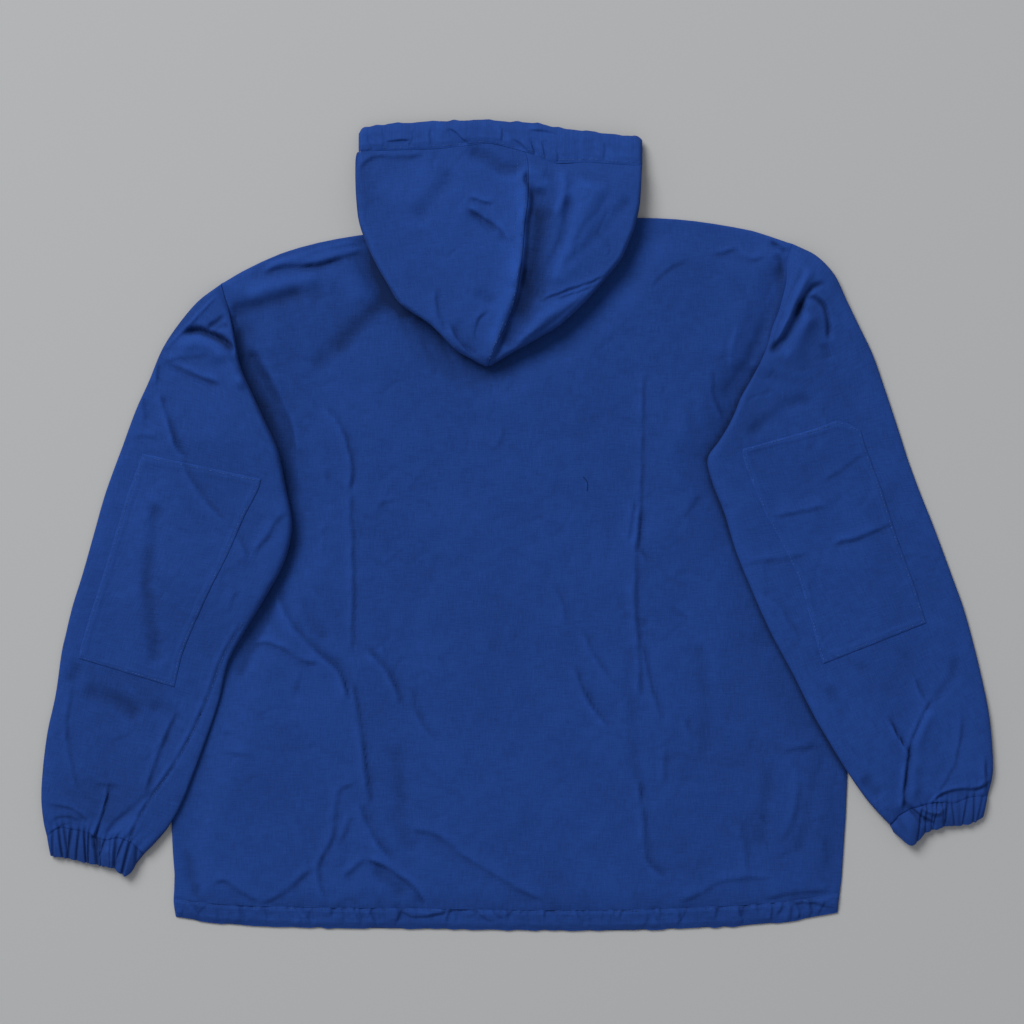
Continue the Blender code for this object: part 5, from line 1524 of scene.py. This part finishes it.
def casing_plan(along, up):
    """Plan of a point on the casing, from its left end and up from its stitched line."""
    x = by_section(along, CASING_SECTIONS.x)
    top = by_section(along, CASING_SECTIONS.top_y)
    top = top + 1.1 * soft_noise(x, 0.0 * x, 7.0, 43) * smooth_step((x - x.min()) / 10.0)
    low = by_section(along, CASING_SECTIONS.stitch_y)
    return np.broadcast_arrays(x, low + (top - low) * up)


def make_casing():
    """The drawcord channel along the face opening: a soft, puckered flat tube."""
    stations = np.arange(len(CASING_SECTIONS.x))
    even_x = np.linspace(CASING_SECTIONS.x[0], CASING_SECTIONS.x[-1], CASING_GRID.along)
    along = np.interp(even_x, CASING_SECTIONS.x, stations)[:, None]
    top_up = with_margins(CASING_WIDTH, CASING_GRID.across)[None, :]
    low_up = np.array([0.93, 0.7, 0.3])[None, :]
    up = np.concatenate([top_up, low_up], axis=1)
    is_top = np.arange(up.shape[1])[None, :] < top_up.shape[1]
    length = even_x[-1] - even_x[0]

    def ring(wall, puckered, up, is_top, along):
        """Rings of the casing, a wall further in, with a share of its puckers."""
        drawn_in = wall / CASING_WIDTH
        x, y = casing_plan(along, drawn_in + up * (1.0 - 2.0 * drawn_in))
        base = hood_smooth(x, y)[0] - CLOTH
        end = np.minimum(x - CASING_SECTIONS.x[0], CASING_SECTIONS.x[-1] - x)
        base = base - 3.0 * (1.0 - rolled(end, 8.0))
        gathered = 0.4 + 0.6 * smooth_step((x + 10.0) / 30.0)
        wave = 0.6 * soft_noise(x, y * 0.3, 7.5, 41) + 0.3 * soft_noise(x, y * 0.5, 3.6, 42)
        wave = wave * gathered + relief(x, y, CASING_CREASES)
        from_seam = up * CASING_WIDTH
        to_rim = CASING_WIDTH - from_seam
        crown = CASING_SWELL * smooth_step(from_seam / 8.0) * smooth_step(to_rim / 9.0)
        groove = 0.9 * bell(from_seam, 1.3)
        upper = base + CLOTH + crown - groove + wave * puckered * smooth_step(from_seam / 3.0)
        hollow = 2.4 + 2.6 * np.sin(math.pi * np.clip(up, 0.0, 1.0))
        return stacked(x, y, np.where(is_top, upper - wall, upper - hollow + wall))

    outside = ring(0.0, 1.0, up, is_top, along)
    inside = ring(1.1, 0.0, up[:, ::STRIDE], is_top[:, ::STRIDE], along[::STRIDE])
    grain = stacked(outside[..., 0], outside[..., 1] * 0.35 + outside[..., 2])
    worn = 0.45 * bell(up * CASING_WIDTH, 3.0) + 0.3 + 0.0 * along
    casing = add_tube("hood_casing_cloth", outside, inside, grain, worn, CANVAS_MATERIAL)
    return stand_for(casing, "hood_casing"), 2.0 * length * CASING_WIDTH * MM * MM


def make_hood_under():
    """The hood's hidden layers: one rounded body whose edge shows two folded layers."""
    outline = curve_through(np.concatenate([HOOD_OUTLINE, HOOD_OUTLINE[:1]]), 3.0)[:-1]
    centre = np.array([-15.0, 290.0])
    # How far out of the drawn-in outline each ring lies, its scale and how far up it is
    levels = [
        (-60.0, 0.03),
        (-20.0, 0.03),
        (-3.0, 0.04),
        (1.2, 0.10),
        (1.8, 0.18),
        (0.4, 0.27),
        (-1.4, 0.31),
        (0.4, 0.35),
        (1.4, 0.44),
        (0.4, 0.54),
        (-2.0, 0.60),
        (-10.0, 0.62),
        (-30.0, 0.5),
        (-60.0, 0.45),
    ]
    offset = outline - centre
    size = np.linalg.norm(offset, axis=1, keepdims=True)
    ring_base = outline - offset / size * 4.0
    rings = []
    for out, up in levels:
        scale = np.maximum(1.0 + out / size, 0.25)
        place = centre + (ring_base - centre) * scale
        low = ground(place[:, 0], place[:, 1], RAMP_UNDER) + 0.1
        high = ground(place[:, 0], place[:, 1], RAMP_OVER)
        high = high + smooth_curve(place[:, 1], HOOD_HEIGHTS.y, HOOD_HEIGHTS.height) * 0.8
        rings.append(stacked(place[:, 0], place[:, 1], low + (high - low) * up))
    grid = np.array(rings)
    rows, columns = grid.shape[:2]
    closed = ringed(numbered(grid))
    middles = grid[[0, -1]].mean(axis=1)
    points = np.concatenate([grid.reshape(-1, 3), middles])
    first, last = rows * columns, rows * columns + 1
    caps = [(closed[0, k + 1], closed[0, k], first) for k in range(columns)]
    caps += [(closed[-1, k], closed[-1, k + 1], last) for k in range(columns)]
    grain = stacked(points[:, 0], points[:, 1] + points[:, 2])
    worn = np.zeros(len(points))
    under = add_mesh(
        "hood_under_cloth", points, grid_quads(closed), np.array(caps), grain, worn, CANVAS_MATERIAL
    )
    return stand_for(under, "hood_under")


def stitch_template():
    """A stitch as a short thread along X whose ends dip into the cloth."""
    along = np.array([-0.5, -0.3, 0.0, 0.3, 0.5]) * STITCH_LENGTH
    radius = np.array([0.35, 0.9, 1.0, 0.9, 0.35]) * THREAD
    rise = np.array([-0.25, 0.05, 0.15, 0.05, -0.25])
    turn = np.linspace(0.0, 2.0 * math.pi, 6, endpoint=False)[None, :]
    y = radius[:, None] * np.cos(turn)
    z = rise[:, None] + radius[:, None] * np.sin(turn)
    grid = stacked(along[:, None], y, z)
    index = numbered(grid)
    ends = [[index[0, 0], index[0, k + 1], index[0, k]] for k in range(1, 5)]
    ends += [[index[-1, 0], index[-1, k], index[-1, k + 1]] for k in range(1, 5)]
    return grid.reshape(-1, 3), grid_quads(ringed(index)), np.array(ends)


def add_stitches(
    name, runs, pitch=STITCH_PITCH, material=THREAD_MATERIAL, worn=0.0, gaps=0.3
):
    """One mesh of stitches along runs of plan points, each on the piece given with it."""
    chance = np.random.default_rng(len(runs))
    shape, shape_quads, shape_ends = stitch_template()
    points, quads, ends = [], [], []
    bpy.context.view_layer.update()
    for piece, run in runs:
        run = curve_through(np.array(run, float), pitch)
        for start, end in zip(run, run[1:]):
            place = (start + end) / 2.0 * MM
            hit, spot, normal, _ = piece.ray_cast(Vector((*place, 0.2)), Vector((0, 0, -1)))
            if not hit or normal.z < 0.3 or chance.random() < gaps:
                continue
            way = Vector((*(end - start), 0.0))
            way = (way - normal * way.dot(normal)).normalized()
            side = normal.cross(way)
            axes = np.array([way, side, normal])
            first = len(points) * len(shape)
            points.append(shape @ axes + np.array(spot) / MM)
            quads.append(shape_quads + first)
            ends.append(shape_ends + first)
    points = np.concatenate(points)
    grain = points[:, :2]
    worn = np.repeat(worn + chance.uniform(-1.2, 0.6, len(quads)), len(shape))
    thread = add_mesh(
        name, points, np.concatenate(quads), np.concatenate(ends), grain, worn, material
    )
    return thread


def sleeve_run(sleeve, stations, across):
    """Plan points on a sleeve, by sections along it and fractions across it."""
    station, across = np.broadcast_arrays(np.array(stations, float), np.array(across, float))
    return stacked(*sleeve.plan(station, across))


def patch_runs(sleeve, patch_rows, patch, inset):
    """The stitched line round a patch, a little inside its edge."""
    length = sleeve.run[patch_rows.last] - sleeve.run[patch_rows.first]
    width = 0.62 * sleeve.width(patch_rows.first)
    along = np.linspace(inset / length, 1.0 - inset / length, 25)
    part = np.linspace(inset / width, 1.0 - inset / width, 17)
    corners = ((along, part[0]), (along, part[-1]), (along[0], part), (along[-1], part))
    runs = []
    for along_at, part_at in corners:
        station, across = patch_place(sleeve, patch_rows, along_at, part_at)
        runs.append((patch, sleeve_run(sleeve, station, across)))
    return runs


def make_camera():
    """A camera straight above the layout, far enough off to keep it undistorted."""
    centre_x, centre_y, field, height = -5.0, 13.5, 1024.0, 3.0
    data = bpy.data.cameras.new("overhead")
    data.lens = data.sensor_width * height / (field * MM)
    camera = add_object("overhead", data)
    camera.location = (centre_x * MM, centre_y * MM, height)
    bpy.context.scene.camera = camera


def make_light():
    """A large soft light at the upper left, and an even fill."""
    data = bpy.data.lights.new("softbox", "AREA")
    data.shape = "DISK"
    data.size = 4.5
    data.energy = 545.0
    softbox = add_object("softbox", data)
    softbox.location = (-3.50, 4.50, 5.25)
    toward = Vector((0.05, -0.05, 0.0)) - softbox.location
    softbox.rotation_euler = toward.to_track_quat("-Z", "Y").to_euler()
    world = bpy.data.worlds.new("fill")
    world.use_nodes = True
    background = world.node_tree.nodes["Background"]
    set_inputs(background, {"Color": (0.93, 0.96, 1.0, 1.0), "Strength": 0.43})
    bpy.context.scene.world = world
    bpy.context.scene.view_settings.view_transform = "Standard"


def make_floor():
    """A plain pale floor that reaches far beyond the picture."""
    mesh = bpy.data.meshes.new("floor")
    reach = 30.0
    corners = [(-reach, -reach, 0), (reach, -reach, 0), (reach, reach, 0), (-reach, reach, 0)]
    mesh.from_pydata(corners, [], [(0, 1, 2, 3)])
    material = bpy.data.materials.new("pale_floor")
    material.use_nodes = True
    surface = material.node_tree.nodes["Principled BSDF"]
    set_inputs(surface, {"Base Color": (0.412, 0.412, 0.412, 1.0)})
    set_inputs(surface, {"Roughness": 0.9, "Specular IOR Level": 0.1})
    mesh.materials.append(material)
    floor = add_object("floor", mesh)


def lay_body():
    """The front panel, and the back panel with its hem over it."""
    back, x, y = make_back()
    hem = make_hem()
    front, x, y = make_front()
    return back, hem


def lay_sleeves():
    """Both sleeves with their patches, cuffs and stitches."""
    left = Sleeve(
        "left",
        LEFT_SLEEVE,
        LEFT_SLEEVE_CREASES + faint_creases(82, 16, (90, 400), (250, 800)),
        LEFT_SLEEVE_PAINTED_SHADE,
        LEFT_PATCH_TOP,
        LEFT_CUFF_LINES,
        LEFT_GATHERS,
        LEFT_CUFF_CREASES,
        51,
    )
    right = Sleeve(
        "right",
        RIGHT_SLEEVE,
        RIGHT_SLEEVE_CREASES + faint_creases(83, 16, (760, 400), (960, 780)),
        [],
        RIGHT_PATCH_TOP,
        RIGHT_CUFF_LINES,
        RIGHT_GATHERS,
        RIGHT_CUFF_CREASES,
        61,
    )
    runs = []
    plans = ((left, LEFT_PATCH, LEFT_CUFF_EDGE), (right, RIGHT_PATCH, RIGHT_CUFF_EDGE))
    for sleeve, patch_rows, corners in plans:
        tube, area = make_sleeve(sleeve)
        patch, area = make_patch(sleeve, patch_rows)
        cuff = make_cuff(sleeve, corners)
        runs += patch_runs(sleeve, patch_rows, patch, PATCH_INSET)
        if sleeve is left:
            runs.append((tube, from_chart(UNDERARM)))
    add_stitches("sleeve_stitches", runs, worn=-0.5, gaps=0.4)


def lay_hood():
    """The hood's halves, casing, hidden layers and stitches."""
    hood = {}
    for half in ("left", "right"):
        hood[half], area = make_hood_half(half)
    casing, area = make_casing()
    make_hood_under()

    # Two lines beside the centre seam, and one just above the casing's lower edge
    station = np.linspace(0.3, 10.6, 40)
    runs = []
    for aside in (0.018, 0.06):
        seam = hood_plan("left", np.full(station.shape, aside), station)
        runs.append((hood["left"], stacked(*seam)))
    stations = np.linspace(0.25, 12.75, 60)
    runs.append((casing, stacked(*casing_plan(stations, 0.09))))
    add_stitches("hood_stitches", runs, worn=-0.8, gaps=0.5)


def main():
    make_camera()
    make_light()
    make_floor()
    back, hem = lay_body()
    lay_sleeves()
    lay_hood()

    across = np.linspace(0.006, 0.994, 80)
    hem_run = panel_plan(across, np.full(across.shape, HEM_SHARE * 0.9), NECK_DROP_BACK)
    add_stitches("hem_stitches", [(hem, stacked(*hem_run))], worn=-1.7, gaps=0.6)
    loose = [(back, from_chart(LOOSE_THREAD))]
    add_stitches("loose_thread", loose, 1.5, GATHERED_SHADED_MATERIAL, -3.0, 0.0)


main()
